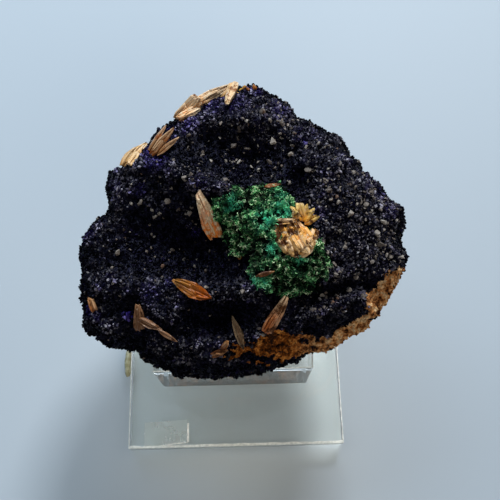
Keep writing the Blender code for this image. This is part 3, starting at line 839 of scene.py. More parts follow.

# %% [markdown]
# ## The look of the azurite
# Azurite is so deep a blue that a crystal looks black until it catches the light, and only
# thin edges and powdery spots show their blue. Each crystal carries a tint of its own, and one
# material turns tint, dust and blue into its colour. The palest dusty crystals, near white, are
# painted glints, and hollows lose their dust and blue as painted shade. Blue glass would be
# nearer to the mineral, but clear crystals by the thousand take long to render.

# %% Azurite material
azurite_finish, tree, shader = new_finish("azurite_crystal")
tint, dust_and_glint, blue, sheltered = (read(tree, name) for name in ("tint", "dust_and_glint", "blue", "sheltered"))
deep = colour_steps(tree, tint, [
    (0.0, (0.0008, 0.0008, 0.0015)), (0.70, (0.0015, 0.0015, 0.004)), (0.92, (0.003, 0.0025, 0.009)),
    (1.0, (0.016, 0.013, 0.042))])
vivid = colour_steps(tree, tint, [
    (0.0, (0.002, 0.001, 0.008)), (0.45, (0.014, 0.009, 0.075)), (0.78, (0.060, 0.040, 0.25)),
    (1.0, (0.22, 0.18, 0.52))])
# Dusty crystals: greyish dust, and the near white ones at the top end are painted glints.
dust_glint_tones = colour_steps(tree, tint, [
    (0.0, (0.001, 0.001, 0.002)), (0.34, (0.007, 0.006, 0.014)), (0.54, (0.085, 0.074, 0.115)),
    (0.74, (0.36, 0.33, 0.39)), (1.0, (0.90, 0.86, 0.88))])
WEAK_REFLECTION = 0.04  # keeps the hollows dark, though it dims the glints too
powder = mottle(tree, 900.0, 1.5)
dust_and_glint_share = calculate(tree, "MULTIPLY", dust_and_glint, spread(tree, powder["Value"], 0.25, 0.75, 0.25, 1.0))
tinged = blend_colours(tree, spread(tree, blue, 0.1, 1.0), deep, vivid)
bare_roughness = spread(tree, powder["Value"], 0.2, 0.8, 0.06, 0.22)
dulled = calculate(tree, "MULTIPLY", calculate(tree, "MAXIMUM", dust_and_glint_share, sheltered), 0.35)
feed_all(tree, shader, {
    "Base Color": blend_colours(tree, dust_and_glint_share, tinged, dust_glint_tones),
    "Roughness": calculate(tree, "ADD", bare_roughness, dulled),
    "IOR": 1.52, "Specular IOR Level": WEAK_REFLECTION})
print("azurite:", len(tree.nodes), "nodes")

# %% Grow the druse in zones, each under the size limit of one piece
shown = (bed_w > 2.0) & (facing_shares(rock_bed) > -0.25)
left_of, right_of, far_side = bed_u < -7.0, bed_u > 8.0, bed_v > -2.0
FACE_DRUSE, FLANK_DRUSE = (0.25, (0.30, 0.85), 50), (0.42, (0.65, 1.35), 42)
DRUSE_ZONES = {  # which points; then spacing, sizes and lean
    "druse_left": (shown & left_of, FACE_DRUSE),
    "druse_middle": (shown & ~left_of & ~right_of, FACE_DRUSE),
    "druse_right": (shown & right_of, FACE_DRUSE),
    "druse_far_flank": (~shown & far_side, FLANK_DRUSE),
    "druse_near_flank": (~shown & ~far_side, FLANK_DRUSE),
}
for seed, (name, (wanted, growth)) in enumerate(DRUSE_ZONES.items(), start=1):
    ride_as(grow(name, rock_bed, wanted, crystal_shapes, "druse", *growth, seed, azurite_finish),
            "azurite")
ride_as(rock_bed, "azurite", "azurite_rock")

# %% [markdown]
# ## Pale grains and crumbs
# Small pale grains of baryte and clay sit among the crystals, most of them on the right slope,
# and crumbs of limonite lie on the rusty rim. The small ones are scattered by the same tree as
# the druse, with rounded shapes in place of crystals. The larger ones are placed one by one
# from a list, by a second tree that sets a shape on each marked point. The amber crystals and
# the one bright blue cluster are placed in that way too.

# %% Rounded grain shapes, about one millimetre wide
def grain_points(seed, flat):
    """Fourteen points scattered round an uneven ball; their hull is a broken grain."""
    draw = np.random.default_rng(seed)
    points = draw.normal(size=(14, 3))
    points *= (draw.uniform(0.36, 0.56, 14) / np.linalg.norm(points, axis=1))[:, None]
    return points * (1.0, draw.uniform(0.7, 1.0), flat)


FLATNESS = (0.9, 0.75, 0.6, 0.8)  # height of each grain against its width
pebbles = hidden_shapes("pebbles", [
    hull_mesh(f"grain_{seed}", grain_points(seed, flat)) for seed, flat in enumerate(FLATNESS)])

# %% Grain material
grain_finish, tree, shader = new_finish("pale_grain")
tone = colour_steps(tree, read(tree, "tint"), [
    (0.0, (0.06, 0.050, 0.042)), (0.40, (0.15, 0.125, 0.105)), (0.75, (0.30, 0.26, 0.22)),
    (1.0, (0.54, 0.49, 0.42))])
speck = mottle(tree, 2600.0, 1.5)
dark_specks = spread(tree, speck["Value"], 0.3, 0.7, 0.5, 0.0)
tone = blend_colours(tree, dark_specks, tone, (0.10, 0.07, 0.06, 1))
feed_all(tree, shader, {
    "Base Color": soak(tree, tone, (0.16, 0.075, 0.038), 300.0, 0.30),
    "Roughness": spread(tree, speck["Value"], 0.2, 0.8, 0.35, 0.75), "Specular IOR Level": 0.25})
raise_bump(tree, shader, speck["Height"], 0.12)
print("grains:", len(tree.nodes), "nodes")

# %% Scatter the small grains, and crumbs over the limonite
STRAY_GRAINS = 0.05  # a few lie on all of the druse, besides those in the grainy spots
in_clusters = waves(bed_points, 3.0) > -0.25
grainy = (glow(bed_points, GRAINY_SPOTS) * druse * shown) + STRAY_GRAINS * shown * druse
carry(rock_bed, "grainy", np.clip(grainy, 0, 1) * in_clusters)
carry(rock_bed, "crumbly", np.clip(on_rim, 0, 1))
for name, wanted, where, spacing, sizes, seed, finish in (
        ("pale_grains", shown, "grainy", 0.56, (0.25, 1.25), 7, grain_finish),
        ("limonite_crumbs", on_rim > 0.1, "crumbly", 0.55, (0.25, 0.9), 8, matrix_finish)):
    ride_as(grow(name, rock_bed, wanted, pebbles, where, spacing, sizes, 60, seed, finish), "azurite")

# %% A tree that sets shapes at marked points
TILT, MARKED_TINT_SEED = 0.6, 9  # tilt in radians, either way
marked_tree, given, result = new_geometry_tree("set_at_marked_points", [
    ("Shapes", "Collection"), ("Seed", "Int"), ("Finish", "Material")])
drawn_turn = random_value(marked_tree, "FLOAT_VECTOR", (-TILT, -TILT, -math.pi),
                          (TILT, TILT, math.pi), given["Seed"])
turn = add_node(marked_tree, "FunctionNodeEulerToRotation", {0: drawn_turn})
placed = plant(marked_tree, given, given["Geometry"], turn.outputs[0], carried(marked_tree, "width"))
tint = random_value(marked_tree, "FLOAT", 0.35, 1.0, MARKED_TINT_SEED)
finish_off(marked_tree, placed, tint, given["Finish"], result)

# %% Place the larger grains, as (u, v, width)
LARGE_GRAINS = [
    (7.6, 16.2, 1.3), (-1.3, 12.4, 1.7), (-0.5, 9.2, 1.4), (9.1, 10.4, 1.2), (12.1, 7.2, 1.7),
    (5.1, 8.9, 1.4), (-2.9, 5.2, 1.3), (-5.5, 9.3, 0.9), (-18.7, 2.4, 1.2), (-13.6, 2.2, 1.3),
    (-9.7, 0.0, 1.6), (-23.2, -6.7, 1.5), (-13.4, -6.4, 1.0), (25.9, -2.4, 1.5), (25.0, -6.7, 1.7),
    (24.3, -4.6, 1.4), (19.4, -1.2, 1.4), (22.4, 0.6, 1.2), (17.1, 0.8, 1.0), (20.3, -12.5, 1.2),
    (19.1, -14.7, 1.2), (14.1, -15.7, 1.0), (-0.4, -14.7, 1.3), (-17.2, -5.9, 0.7), (4.2, 18.1, 1.4),
    (11.9, 11.4, 0.9), (20.6, 6.8, 1.2), (18.2, -7.2, 1.2), (5.9, 12.8, 1.8), (16.2, -10.1, 1.2),
    (-9.7, 14.8, 1.1), (-10.1, 5.7, 1.6), (15.6, 2.9, 1.4), (23.2, -9.8, 1.0), (22.0, -16.0, 1.0),
    (7.1, 20.7, 0.9), (29.2, -8.8, 1.5), (20.5, 3.7, 1.0), (1.8, 8.2, 0.9), (17.8, 8.0, 1.0),
    (14.3, 12.4, 0.9), (-3.9, 14.0, 0.7), (25.4, -0.2, 0.8), (27.6, -3.9, 0.8),
    (27.0, -8.9, 1.2),
]
bed_height = surface_finder(rock_bed.data)


def marked_points(name, spots, lift):
    """Loose points over the bed, each carrying the width of what stands there."""
    places = [show_face @ Vector((u, v, bed_height(u, v) + lift)) for u, v, _ in spots]
    mesh = bpy.data.meshes.new(name)
    mesh.from_pydata(places, [], [])
    marks = link_object(name, mesh)
    carry(marks, "width", [width for _, _, width in spots])
    return marks


def set_out(name, spots, lift, shapes, seed, finish):
    """One piece made of a shape at each spot, its middle this far above the bed, in mm."""
    return run_tree(marked_points(name, spots, lift), marked_tree,
                    {"Shapes": shapes, "Seed": seed, "Finish": finish})


ride_as(set_out("large_grains", LARGE_GRAINS, 0.35, pebbles, 4, grain_finish), "azurite")

# %% Amber crystals
AMBER_GRAINS = [
    (0.9, 24.7, 1.6), (1.6, 23.9, 1.1), (0.2, 24.3, 1.1), (-0.4, 23.4, 0.8), (2.9, 24.7, 1.5),
    (-0.7, -8.5, 0.9), (-4.2, -26.3, 0.9), (-28.6, -16.2, 0.9),
]
amber_finish, tree, shader = new_finish("baryte_amber")
feed_all(tree, shader, {
    "Base Color": colour_steps(tree, read(tree, "tint"), [
        (0.35, (0.36, 0.10, 0.015)), (0.65, (0.46, 0.19, 0.020)), (1.0, (0.60, 0.33, 0.020))]),
    "Roughness": 0.25})
ride_as(set_out("amber_grains", AMBER_GRAINS, 0.5, pebbles, 11, amber_finish), "baryte")

# %% One bright blue cluster
BLUE_CLUSTER = [
    (-21.4, -18.4, 1.5), (-20.9, -17.9, 1.2), (-21.9, -18.8, 1.2), (-21.3, -19.2, 1.0),
    (-20.6, -18.7, 0.9), (-22.2, -18.0, 0.9),
]
blue_cluster = set_out("bright_blue_cluster", BLUE_CLUSTER, 0.45, crystal_shapes, 2, azurite_finish)
carry(blue_cluster, "blue", np.ones(len(blue_cluster.data.vertices)))
ride_as(blue_cluster, "azurite")

# %% [markdown]
# ## The malachite cushion
# Malachite grew in the hollow as a velvety tuft. The CAD cushion gives its outline. A voxel
# remesh, a little smoothing and two sizes of noise make the body, and short curled fibres are
# scattered over it with the same tree as the druse. Hair would suit velvet too, but here each
# strand has to be a closed mesh. The curls are three-sided tubes with a handful of faces,
# since there are thousands of them.

# %% Malachite material
malachite_finish, tree, shader = new_finish("malachite_velvet")
tint, turquoise, shadow = read(tree, "tint"), read(tree, "turquoise"), read(tree, "shaded")
tuft = mottle(tree, 850.0, 2.2)
mixed = calculate(tree, "ADD", calculate(tree, "MULTIPLY", tint, 0.45),
                  calculate(tree, "MULTIPLY", tuft["Value"], 0.55))
green = colour_steps(tree, mixed, [
    (0.28, (0.003, 0.014, 0.005)), (0.42, (0.020, 0.105, 0.030)), (0.55, (0.18, 0.54, 0.18)),
    (0.70, (0.85, 1.00, 0.60))])
bluish = calculate(tree, "MULTIPLY", turquoise, tint)
green = blend_colours(tree, bluish, green, (0.10, 0.88, 0.50, 1))
feed_all(tree, shader, {
    "Base Color": blend_colours(tree, shadow, green, (0.002, 0.007, 0.003, 1)),
    "Specular IOR Level": 0.15, "Roughness": spread(tree, tuft["Value"], 0.2, 0.8, 0.55, 0.9)})
print("malachite:", len(tree.nodes), "nodes")

# %% The cushion's lumpy body
TURQUOISE_SPOTS = [
    (-1.8, 0.7, 1.6, 1.3), (4.0, -2.2, 1.8, 1.3), (5.0, -7.4, 1.2, 1.3), (6.8, -0.9, 1.6, 1.5),
    (10.0, -9.8, 1.2, 0.9), (2.8, -12.6, 1.6, 1.1), (7.0, 2.5, 1.5, 0.6),
]
SHADED_SPOTS = [
    (13.5, -12.0, 3.4, 0.60), (1.6, -7.9, 2.0, 1.0), (9.5, -14.4, 2.4, 0.50), (2.2, -10.0, 1.5, 0.9),
    (-1.5, 3.2, 1.3, 0.7), (3.5, 0.8, 1.0, 0.6), (6.5, -12.8, 2.2, 0.55), (0.6, -4.0, 1.0, 0.5),
]
CUSHION_VOXEL, CUSHION_SUNK, BODY_TINT = 0.26, 0.2, 0.3
cushion = even_faces(merged_copy("malachite_cushion", "malachite_body"), CUSHION_VOXEL)
smoothed = cushion.modifiers.new("soften", "SMOOTH")
smoothed.factor, smoothed.iterations = 0.5, 8
bake_modifiers(cushion)
cushion_points = on_show_face(corners(cushion.data))
tufts = 0.6 * waves(cushion_points, 1.5, 4)
curly = 0.5 * waves(cushion_points + 9.0, 0.7)  # + 9.0 takes other noise
push_out(cushion, 1.9 * tufts + 0.9 * curly - CUSHION_SUNK)
cushion_points = on_show_face(corners(cushion.data))
carry(cushion, "turquoise", glow(cushion_points, TURQUOISE_SPOTS))
hollow = soft_step(0.10, -0.16, tufts + 0.8 * curly)
carry(cushion, "shaded", 1.0 - (1.0 - glow(cushion_points, SHADED_SPOTS)) * (1.0 - hollow))
carry(cushion, "tint", np.full(len(cushion_points), BODY_TINT))
carry(cushion, "furry", np.ones(len(cushion_points)))
coat(cushion, malachite_finish)
print("tufts:", round(float(tufts.min()), 2), "to", round(float(tufts.max()), 2))

# %% Closed tubes with three sides
def close_tube(bm, rings):
    """Joins rings of points, each like the next, and closes both ends."""
    for near, far in zip(rings, rings[1:]):
        for i, point in enumerate(near):
            after = (i + 1) % len(near)
            bm.faces.new((point, near[after], far[after], far[i]))
    bm.faces.new(rings[0])
    bm.faces.new(rings[-1])


def curl_mesh(name, radius, bend, sway, thickness, steps):
    """A three-sided tube that rises and curls over; sizes in millimetres, bend in radians."""
    bm = bmesh.new()
    rings = []
    side = Vector((0, 1, 0))
    for step in range(steps + 1):
        share = step / steps
        angle = bend * share
        middle = Vector((radius * (1 - math.cos(angle)), sway * math.sin(SWAY_RATE * angle),
                         radius * math.sin(angle)))
        out = side.cross(Vector((math.sin(angle), 0, math.cos(angle))))
        girth = thickness * (1.0 - TIP_TAPER * share) / 2
        rings.append([
            bm.verts.new((middle + girth * (math.cos(turn) * side + math.sin(turn) * out)) * MM)
            for turn in (0.0, 2.1, 4.2)])
    close_tube(bm, rings)
    bmesh.ops.recalc_face_normals(bm, faces=bm.faces)
    return mesh_of(bm, name)


SWAY_RATE, TIP_TAPER = 2.6, 0.55
CURLS = {  # radius, bend, sway, thickness, steps
    "curl_tight": (0.24, 3.6, 0.10, 0.26, 4),
    "curl_open": (0.36, 2.3, -0.12, 0.22, 4),
    "stub": (0.5, 1.1, 0.05, 0.22, 3),
}
curls = hidden_shapes("curls", [curl_mesh(name, *sizes) for name, sizes in CURLS.items()])

# %% Grow the velvet
fibres = grow("malachite_fibres", cushion, facing_shares(cushion) > -0.3, curls, "furry", 0.25,
              (0.55, 1.25), 60, 12, malachite_finish)
ride_as(fibres, "malachite")
ride_as(cushion, "malachite", "malachite_cushion")

# %% [markdown]
# ## The baryte blades
# A baryte crystal is a flat blade that splits into laths along its length, so it looks
# streaked and stepped. A box with a striped colour would look painted up close. Each blade
# here is a core with closed laths side by side round it. They share the blade's outline, and
# each has its own thickness, height, tilt and broken ends. The groups stand where the CAD
# solids stand. Only the rosette's small petals have no solid of their own.

# %% The groups: a look, then each blade's root, tip, width, thickness, roll and form
BLADES = {  # a root or a tip is (u, v, mm above the rock), and a roll is in degrees
    "baryte_rim_fan": ("cream", [
        ((-12.5, 19.4, 0.3), (-8.0, 23.2, 1.8), 2.1, 1.0, 20, "slab"),
        ((-11.9, 18.6, 0.9), (-5.4, 22.4, 2.5), 2.3, 1.1, 5, "dart"),
        ((-9.4, 21.3, 0.6), (-1.2, 25.9, 2.5), 2.3, 1.0, 15, "dart"),
        ((-8.2, 21.6, 0.8), (-3.0, 24.5, 2.0), 1.8, 0.9, 12, "slab"),
        ((-10.8, 18.8, 1.2), (-7.2, 20.9, 2.2), 1.5, 0.9, -10, "lens"),
    ]),
    "baryte_hanging_blade": ("pale_gold", [
        ((-3.3, 23.0, 0.7), (-1.0, 26.1, 2.9), 1.6, 0.9, 0, "dart"),
        ((-1.0, 26.0, 2.9), (-2.4, 19.7, 1.5), 1.9, 1.0, 6, "wedge"),
    ]),
    "baryte_slender_blades": ("sunlit_brown", [
        ((-17.3, 12.4, 0.0), (-14.0, 17.6, 1.4), 1.0, 0.9, 20, "dart"),
        ((-16.7, 11.1, 0.1), (-12.2, 16.3, 2.0), 1.6, 1.0, 15, "dart"),
        ((-15.6, 10.8, 0.0), (-11.2, 14.3, 1.6), 1.1, 0.9, 10, "lens"),
    ]),
    "baryte_edge_group": ("pale_gold", [
        ((-20.9, 11.4, 0.9), (-18.2, 15.1, 2.0), 1.9, 1.0, 10, "dart"),
        ((-22.5, 9.7, 0.3), (-19.9, 13.4, 1.7), 1.9, 1.0, -10, "dart"),
        ((-20.8, 9.4, 0.5), (-19.8, 12.4, 1.6), 1.5, 0.9, 0, "slab"),
        ((-19.4, 12.2, 0.8), (-18.3, 14.2, 1.6), 1.2, 0.8, 15, "lens"),
    ]),
    "baryte_broad_blade": ("tan", [((-5.0, -4.7, 1.0), (-8.0, 3.4, 0.8), 3.1, 1.2, -8, "wedge")]),
    "baryte_lens_blade": ("orange_lens", [((-5.8, -15.7, 1.7), (-13.1, -12.1, 1.4), 2.8, 1.1, -4, "lens")]),
    "baryte_forked_blade": ("pinkish", [
        ((-19.2, -21.1, 0.6), (-19.1, -16.5, 1.2), 2.2, 1.0, 0, "wedge"),
        ((-19.2, -19.0, 0.7), (-14.8, -21.2, 1.0), 1.5, 0.9, 0, "dart"),
        ((-15.8, -21.0, 0.8), (-12.1, -23.4, 0.9), 1.0, 0.9, 0, "lens"),
    ]),
    "baryte_striated_blade": ("streaked", [((3.4, -22.2, 0.7), (7.5, -15.6, 1.4), 2.3, 1.2, 10, "wedge")]),
    "baryte_brown_blade": ("olive", [((-0.4, -25.2, 0.6), (-2.4, -18.7, 1.6), 1.6, 1.0, 0, "lens")]),
    "baryte_front_chunk": ("rusty", [
        ((-6.3, -26.0, 0.5), (-3.2, -25.0, 1.1), 1.2, 1.0, 0, "dart"),
        ((-4.4, -25.0, 0.8), (-3.2, -23.4, 1.3), 1.1, 0.9, 20, "wedge"),
        ((-5.6, -25.4, 0.9), (-4.0, -25.7, 1.3), 0.9, 0.7, -10, "slab"),
    ]),
    "baryte_side_chip": ("rusty", [((-27.6, -17.4, 0.4), (-28.4, -14.9, 0.7), 1.4, 1.0, 0, "slab")]),
    "baryte_rosette": ("golden", [
        ((8.2, -3.0, 2.0), (10.6, -8.6, 3.1), 2.7, 1.2, 4, "slab"),
        ((5.8, -3.0, 1.6), (8.2, -8.9, 2.8), 2.4, 1.1, 18, "slab"),
        ((9.9, -3.9, 1.7), (12.4, -7.4, 2.8), 2.2, 1.0, -14, "slab"),
        ((5.9, -5.4, 1.1), (9.4, -9.2, 2.5), 1.6, 1.0, 25, "wedge"),
        ((5.6, -2.9, 1.9), (9.2, -2.7, 2.7), 1.3, 0.9, 10, "wedge"),
        ((12.8, -4.0, 1.2), (11.0, -8.2, 2.5), 1.7, 1.0, -22, "wedge"),
        ((8.6, -9.1, 1.8), (12.2, -7.9, 2.6), 1.3, 0.9, 0, "lens"),
        ((7.3, -3.2, 0.9), (10.6, -8.4, 2.2), 5.6, 1.5, 0, "slab"),
    ]),
    "rosette_petals": ("yellow", [
        ((10.8, -2.3, 1.0), (8.3, -0.1, 2.4), 1.6, 0.8, 12, "dart"),
        ((10.6, -2.4, 1.3), (9.9, 0.5, 2.6), 1.5, 0.8, 5, "slab"),
        ((10.8, -2.4, 1.1), (11.3, 0.3, 2.3), 1.5, 0.8, -8, "dart"),
        ((10.6, -2.7, 1.2), (12.7, -0.5, 2.2), 1.6, 0.8, -14, "dart"),
        ((10.8, -2.9, 1.0), (13.5, -1.9, 2.0), 1.4, 0.8, -20, "dart"),
        ((9.2, -2.2, 1.3), (9.3, -0.9, 2.3), 1.5, 0.8, -10, "slab"),
    ]),
    "baryte_upper_splinter": ("rusty", [((3.9, 3.7, 1.7), (7.1, 4.1, 2.2), 0.9, 0.7, 0, "lens")]),
    "baryte_lower_splinter": ("rusty", [((1.9, -12.2, 2.0), (5.5, -11.3, 2.5), 0.9, 0.7, 0, "lens")]),
}
print("blades:", sum(len(blades) for look, blades in BLADES.values()))

# %% Outlines: shares of the length, then the half width's share at each
FORMS = {
    "wedge": ((0.0, 0.12, 0.30, 0.65, 1.0), (0.70, 0.95, 1.00, 0.80, 0.40)),
    "lens": ((0.0, 0.20, 0.45, 0.75, 1.0), (0.10, 0.75, 1.00, 0.62, 0.05)),
    "slab": ((0.0, 0.15, 0.50, 0.85, 1.0), (0.75, 0.95, 1.00, 0.92, 0.60)),
    "dart": ((0.0, 0.25, 0.50, 0.80, 1.0), (0.60, 1.00, 0.90, 0.50, 0.10)),
}
FIBRE_NAME, NUMBER_NAMES = "fibre", ("reach", "rim", "layer")  # what the fibre group reads


def striation(across, along, seed):
    """How high a blade's ridges and steps stand at this place, in millimetres."""
    broad = 0.09 * noise.noise(Vector((across * 4.5, along * 0.15, seed)))
    narrow = 0.05 * noise.noise(Vector((across * 11.0, along * 0.4, seed + 5)))
    stepped = 0.12 * noise.cell(Vector((across * 1.8 + seed, along * 0.30, 3.0)))
    return broad + narrow + stepped


print("forms:", ", ".join(FORMS))

# %% Loft one lath of a blade
ROWS_PER_MM, COLUMNS_PER_MM, FEWEST_ROWS, FEWEST_COLUMNS = 3.5, 7, 8, 4
END_THICKNESS, END_RISE = 0.35, 5.0  # a lath is thinner at its ends
MOST_TILT, MOST_SLANT = 0.30, 0.4  # of its thickness and its width


def loft_lath(bm, axes, edges, between, span, thickness, raised, draw):
    """Adds one closed lath. axes gives the blade's root, tip, across and out directions,
    edges its left and right half-widths, between and span the shares of width and length
    that the lath takes."""
    root, tip, across, out = axes
    length = (tip - root).length
    fibre = bm.verts.layers.float_vector[FIBRE_NAME]
    reach, rim, layer = (bm.verts.layers.float[name] for name in NUMBER_NAMES)
    seed, own = draw.uniform(0, 90), draw.uniform()
    tilt, slant = draw.uniform(-MOST_TILT, MOST_TILT), draw.uniform(-MOST_SLANT, MOST_SLANT)
    rows = max(FEWEST_ROWS, round(length * (span[1] - span[0]) * ROWS_PER_MM))
    widest = (between[1] - between[0]) * (edges[0][1].max() + edges[1][1].max()) / 2
    columns = max(FEWEST_COLUMNS, round(widest * COLUMNS_PER_MM))
    rings = []
    for row in range(rows + 1):
        local = row / rows
        share = span[0] + (span[1] - span[0]) * local
        left, right = (-np.interp(share, *edges[0]), np.interp(share, *edges[1]))
        low, high = (left + (right - left) * (b + 1) / 2 for b in between)
        slim = min(1.0, END_THICKNESS + END_RISE * min(local, 1.0 - local))
        broken = local**6 - 0.7 * (1 - local) ** 6  # slants the two ends, opposite ways
        ring = []
        for side in (1, -1):
            for column in range(columns):
                place = (2 * column / (columns - 1) - 1) * side
                x = low + (high - low) * (place + 1) / 2
                ridge = striation(x, share * length, seed)
                level = side * thickness * slim * (0.5 - 0.12 * place**6) + tilt * thickness * place
                further = slant * place * (high - low) * broken
                middle = root.lerp(tip, share) + (tip - root).normalized() * further
                vert = bm.verts.new(middle + across * x + out * (level + raised + ridge * slim))
                vert[fibre] = Vector((share * length, x, seed))
                vert[reach], vert[rim], vert[layer] = share, abs(place) ** 4, own
                ring.append(vert)
        rings.append(ring)
    close_tube(bm, rings)


print("laths have at least", FEWEST_ROWS * 2 * FEWEST_COLUMNS, "faces along their sides")

# %% A blade is a bundle of laths inside one outline
LATHS_PER_MM, OVERLAP = 1.3, 0.03
WIDE_BLADE = 2.0  # mm; a blade wider than this also breaks across its length


def add_blade(bm, blade, seed):
    """Adds a core and the laths round it."""
    (u0, v0, lift0), (u1, v1, lift1), width, thickness, roll, form = blade
    root = Vector((u0, v0, rock_height(u0, v0) + lift0))
    tip = Vector((u1, v1, rock_height(u1, v1) + lift1))
    ahead = (tip - root).normalized()
    flat = ahead.cross(Vector((0, 0, 1))).normalized()
    across = Matrix.Rotation(math.radians(roll), 3, ahead) @ flat
    axes = (root, tip, across, across.cross(ahead))
    draw = np.random.default_rng(int(seed * 17) + 3)
    shares, halves = (np.array(row) for row in FORMS[form])
    edges = [(shares, halves * width / 2 * draw.uniform(0.82, 1.12, len(halves))) for _ in range(2)]
    count = max(2, round(width * LATHS_PER_MM) + 1)
    cuts = np.linspace(-1, 1, count + 1)
    cuts[1:-1] += draw.uniform(-0.55, 0.55, count - 1) / count
    loft_lath(bm, axes, edges, (-0.93, 0.93), (0.02, 0.96), thickness * 0.62, -0.12, draw)
    for low, high in zip(cuts, cuts[1:]):
        breaks = [draw.uniform(0.0, 0.14), 1.0 - draw.uniform(0.0, 0.20)]
        if width > WIDE_BLADE:
            breaks.insert(1, draw.uniform(0.30, 0.70))
        for near, far in zip(breaks, breaks[1:]):
            loft_lath(bm, axes, edges, (low - OVERLAP, high + OVERLAP), (max(0.0, near - 0.04), far),
                      thickness * draw.uniform(0.50, 0.90), draw.uniform(-0.06, 0.26) * thickness, draw)


def baryte_piece(node, blades, finish, seed):
    """One piece for a group of blades; it replaces the CAD node of that name, if there is one."""
    bm = bmesh.new()
    bm.verts.layers.float_vector.new(FIBRE_NAME)
    for name in NUMBER_NAMES:
        bm.verts.layers.float.new(name)
    for number, blade in enumerate(blades):
        add_blade(bm, blade, seed + number)
    bmesh.ops.transform(bm, matrix=show_face, verts=bm.verts)
    bmesh.ops.recalc_face_normals(bm, faces=bm.faces)
    piece = link_object(node + "_crystal", mesh_of(bm, node + "_crystal"))
    coat(piece, finish)
    ride_as(piece, "baryte", *([node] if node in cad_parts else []))


print("laths for each mm of a blade's width:", LATHS_PER_MM, "and one more")

# %% [markdown]
# ## The look of the baryte
# Baryte is pale, and iron stains it from cream through tan to rusty brown. Each look is the
# same function with other colours: the crystal fibre group gives the streaks, the stain group
# lays iron over them, and the stain group again lays a pale frost over that. Eleven materials
# written out in full would say the same thing eleven times.

# %% Baryte finishes
FROST = (0.84, 0.64, 0.42)
DARK_LINE, RUST = (0.060, 0.020, 0.006), (0.26, 0.070, 0.010)
OLIVE_STAIN, CHESTNUT = (0.035, 0.022, 0.010), (0.085, 0.026, 0.006)
BARYTE_LOOKS = {  # root, tip, strength of the lines, paleness, iron stain and its amount
    "cream": ((1.00, 0.56, 0.25), (1.00, 0.76, 0.50), 0.55, 0.9, RUST, 0.38),
    "pale_gold": ((0.78, 0.44, 0.15), (0.84, 0.57, 0.29), 0.65, 0.7, RUST, 0.38),
    "sunlit_brown": ((0.30, 0.13, 0.040), (0.50, 0.28, 0.14), 1.00, 0.4, RUST, 0.46),
    "tan": ((1.00, 0.28, 0.030), (1.00, 0.70, 0.46), 0.65, 1.0, CHESTNUT, 0.46),
    "orange_lens": ((0.40, 0.080, 0.001), (0.36, 0.145, 0.022), 0.50, 0.05, RUST, 0.36),
    "pinkish": ((0.24, 0.11, 0.050), (0.30, 0.155, 0.080), 0.75, 0.2, CHESTNUT, 0.45),
    "streaked": ((0.52, 0.13, 0.018), (0.52, 0.31, 0.17), 1.00, 0.4, CHESTNUT, 0.50),
    "olive": ((0.120, 0.060, 0.027), (0.185, 0.120, 0.065), 0.85, 0.2, OLIVE_STAIN, 0.50),
    "golden": ((1.00, 0.44, 0.065), (1.00, 0.58, 0.21), 0.60, 0.7, CHESTNUT, 0.60),
    "yellow": ((1.00, 0.44, 0.045), (1.00, 0.70, 0.22), 0.35, 0.7, CHESTNUT, 0.36),
    "rusty": ((0.28, 0.085, 0.018), (0.40, 0.18, 0.065), 0.80, 0.3, CHESTNUT, 0.50),
}


def baryte_finish(look, root, tip, lines, paleness, stain, amount):
    """One baryte look: streaked colours, then patches of iron stain, then patches of frost."""
    finish, tree, shader = new_finish(f"baryte_{look}")
    streaked = use_group(tree, fibre_group, {
        "Root Color": (*root, 1), "Tip Color": (*tip, 1), "Line Color": (*DARK_LINE, 1),
        "Lines": lines, "Paleness": paleness})
    rusted = soak(tree, streaked["Color"], stain, 520.0, amount)
    feed_all(tree, shader, {
        "Base Color": soak(tree, rusted, FROST, 900.0, 0.55 * paleness),
        "Roughness": spread(tree, streaked["Height"], 0.2, 0.8, 0.45, 0.22),
        "Specular IOR Level": 0.25})
    raise_bump(tree, shader, streaked["Height"], 0.08)
    return finish


finishes = {look: baryte_finish(look, *values) for look, values in BARYTE_LOOKS.items()}
print("baryte looks:", len(finishes))

# %% Build the blades
for number, (node, (look, blades)) in enumerate(BLADES.items(), start=1):
    baryte_piece(node, blades, finishes[look], 10.0 * number)

# %% [markdown]
# ## The acrylic stand
# Cast acrylic is clear, with an index of refraction near 1.49, and its polished chamfers show
# as bright lines. A real block of this kind is bonded to its plate with no air between them,
# while the two CAD solids keep a small gap. One piece stands for both here: two boxes the size
# of the CAD nodes, joined by a Boolean, with a Bevel modifier for the chamfers. A renderer
# that traces from the eye can make clear material cast a black shadow, so rays towards a lamp
# go through, a little dimmed.

# %% Join the plate and the block
def solid_box(name, low, high):
    """A box from its lowest corner to its highest."""
    bm = bmesh.new()
    bmesh.ops.create_cube(bm, size=1.0)
    bmesh.ops.scale(bm, vec=high - low, verts=bm.verts)
    bmesh.ops.translate(bm, vec=(low + high) / 2, verts=bm.verts)
    return link_object(name, mesh_of(bm, name))


JOIN_DEPTH, CHAMFER = 1.0 * MM, 0.35 * MM
plate_low, plate_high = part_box("acrylic_base_plate")
block_low, block_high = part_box("acrylic_riser_block")
block_low.z = plate_high.z - JOIN_DEPTH  # the block reaches into the plate, so the join is clean
stand = solid_box("acrylic_stand", plate_low, plate_high)
riser = solid_box("acrylic_riser", block_low, block_high)
bond = stand.modifiers.new("bond", "BOOLEAN")
bond.operation, bond.object, bond.solver = "UNION", riser, "EXACT"
polish = stand.modifiers.new("polished edge", "BEVEL")
polish.width, polish.segments, polish.limit_method = CHAMFER, 2, "ANGLE"
bake_modifiers(stand)
bpy.data.objects.remove(riser)
print("stand:", len(stand.data.polygons), "faces")

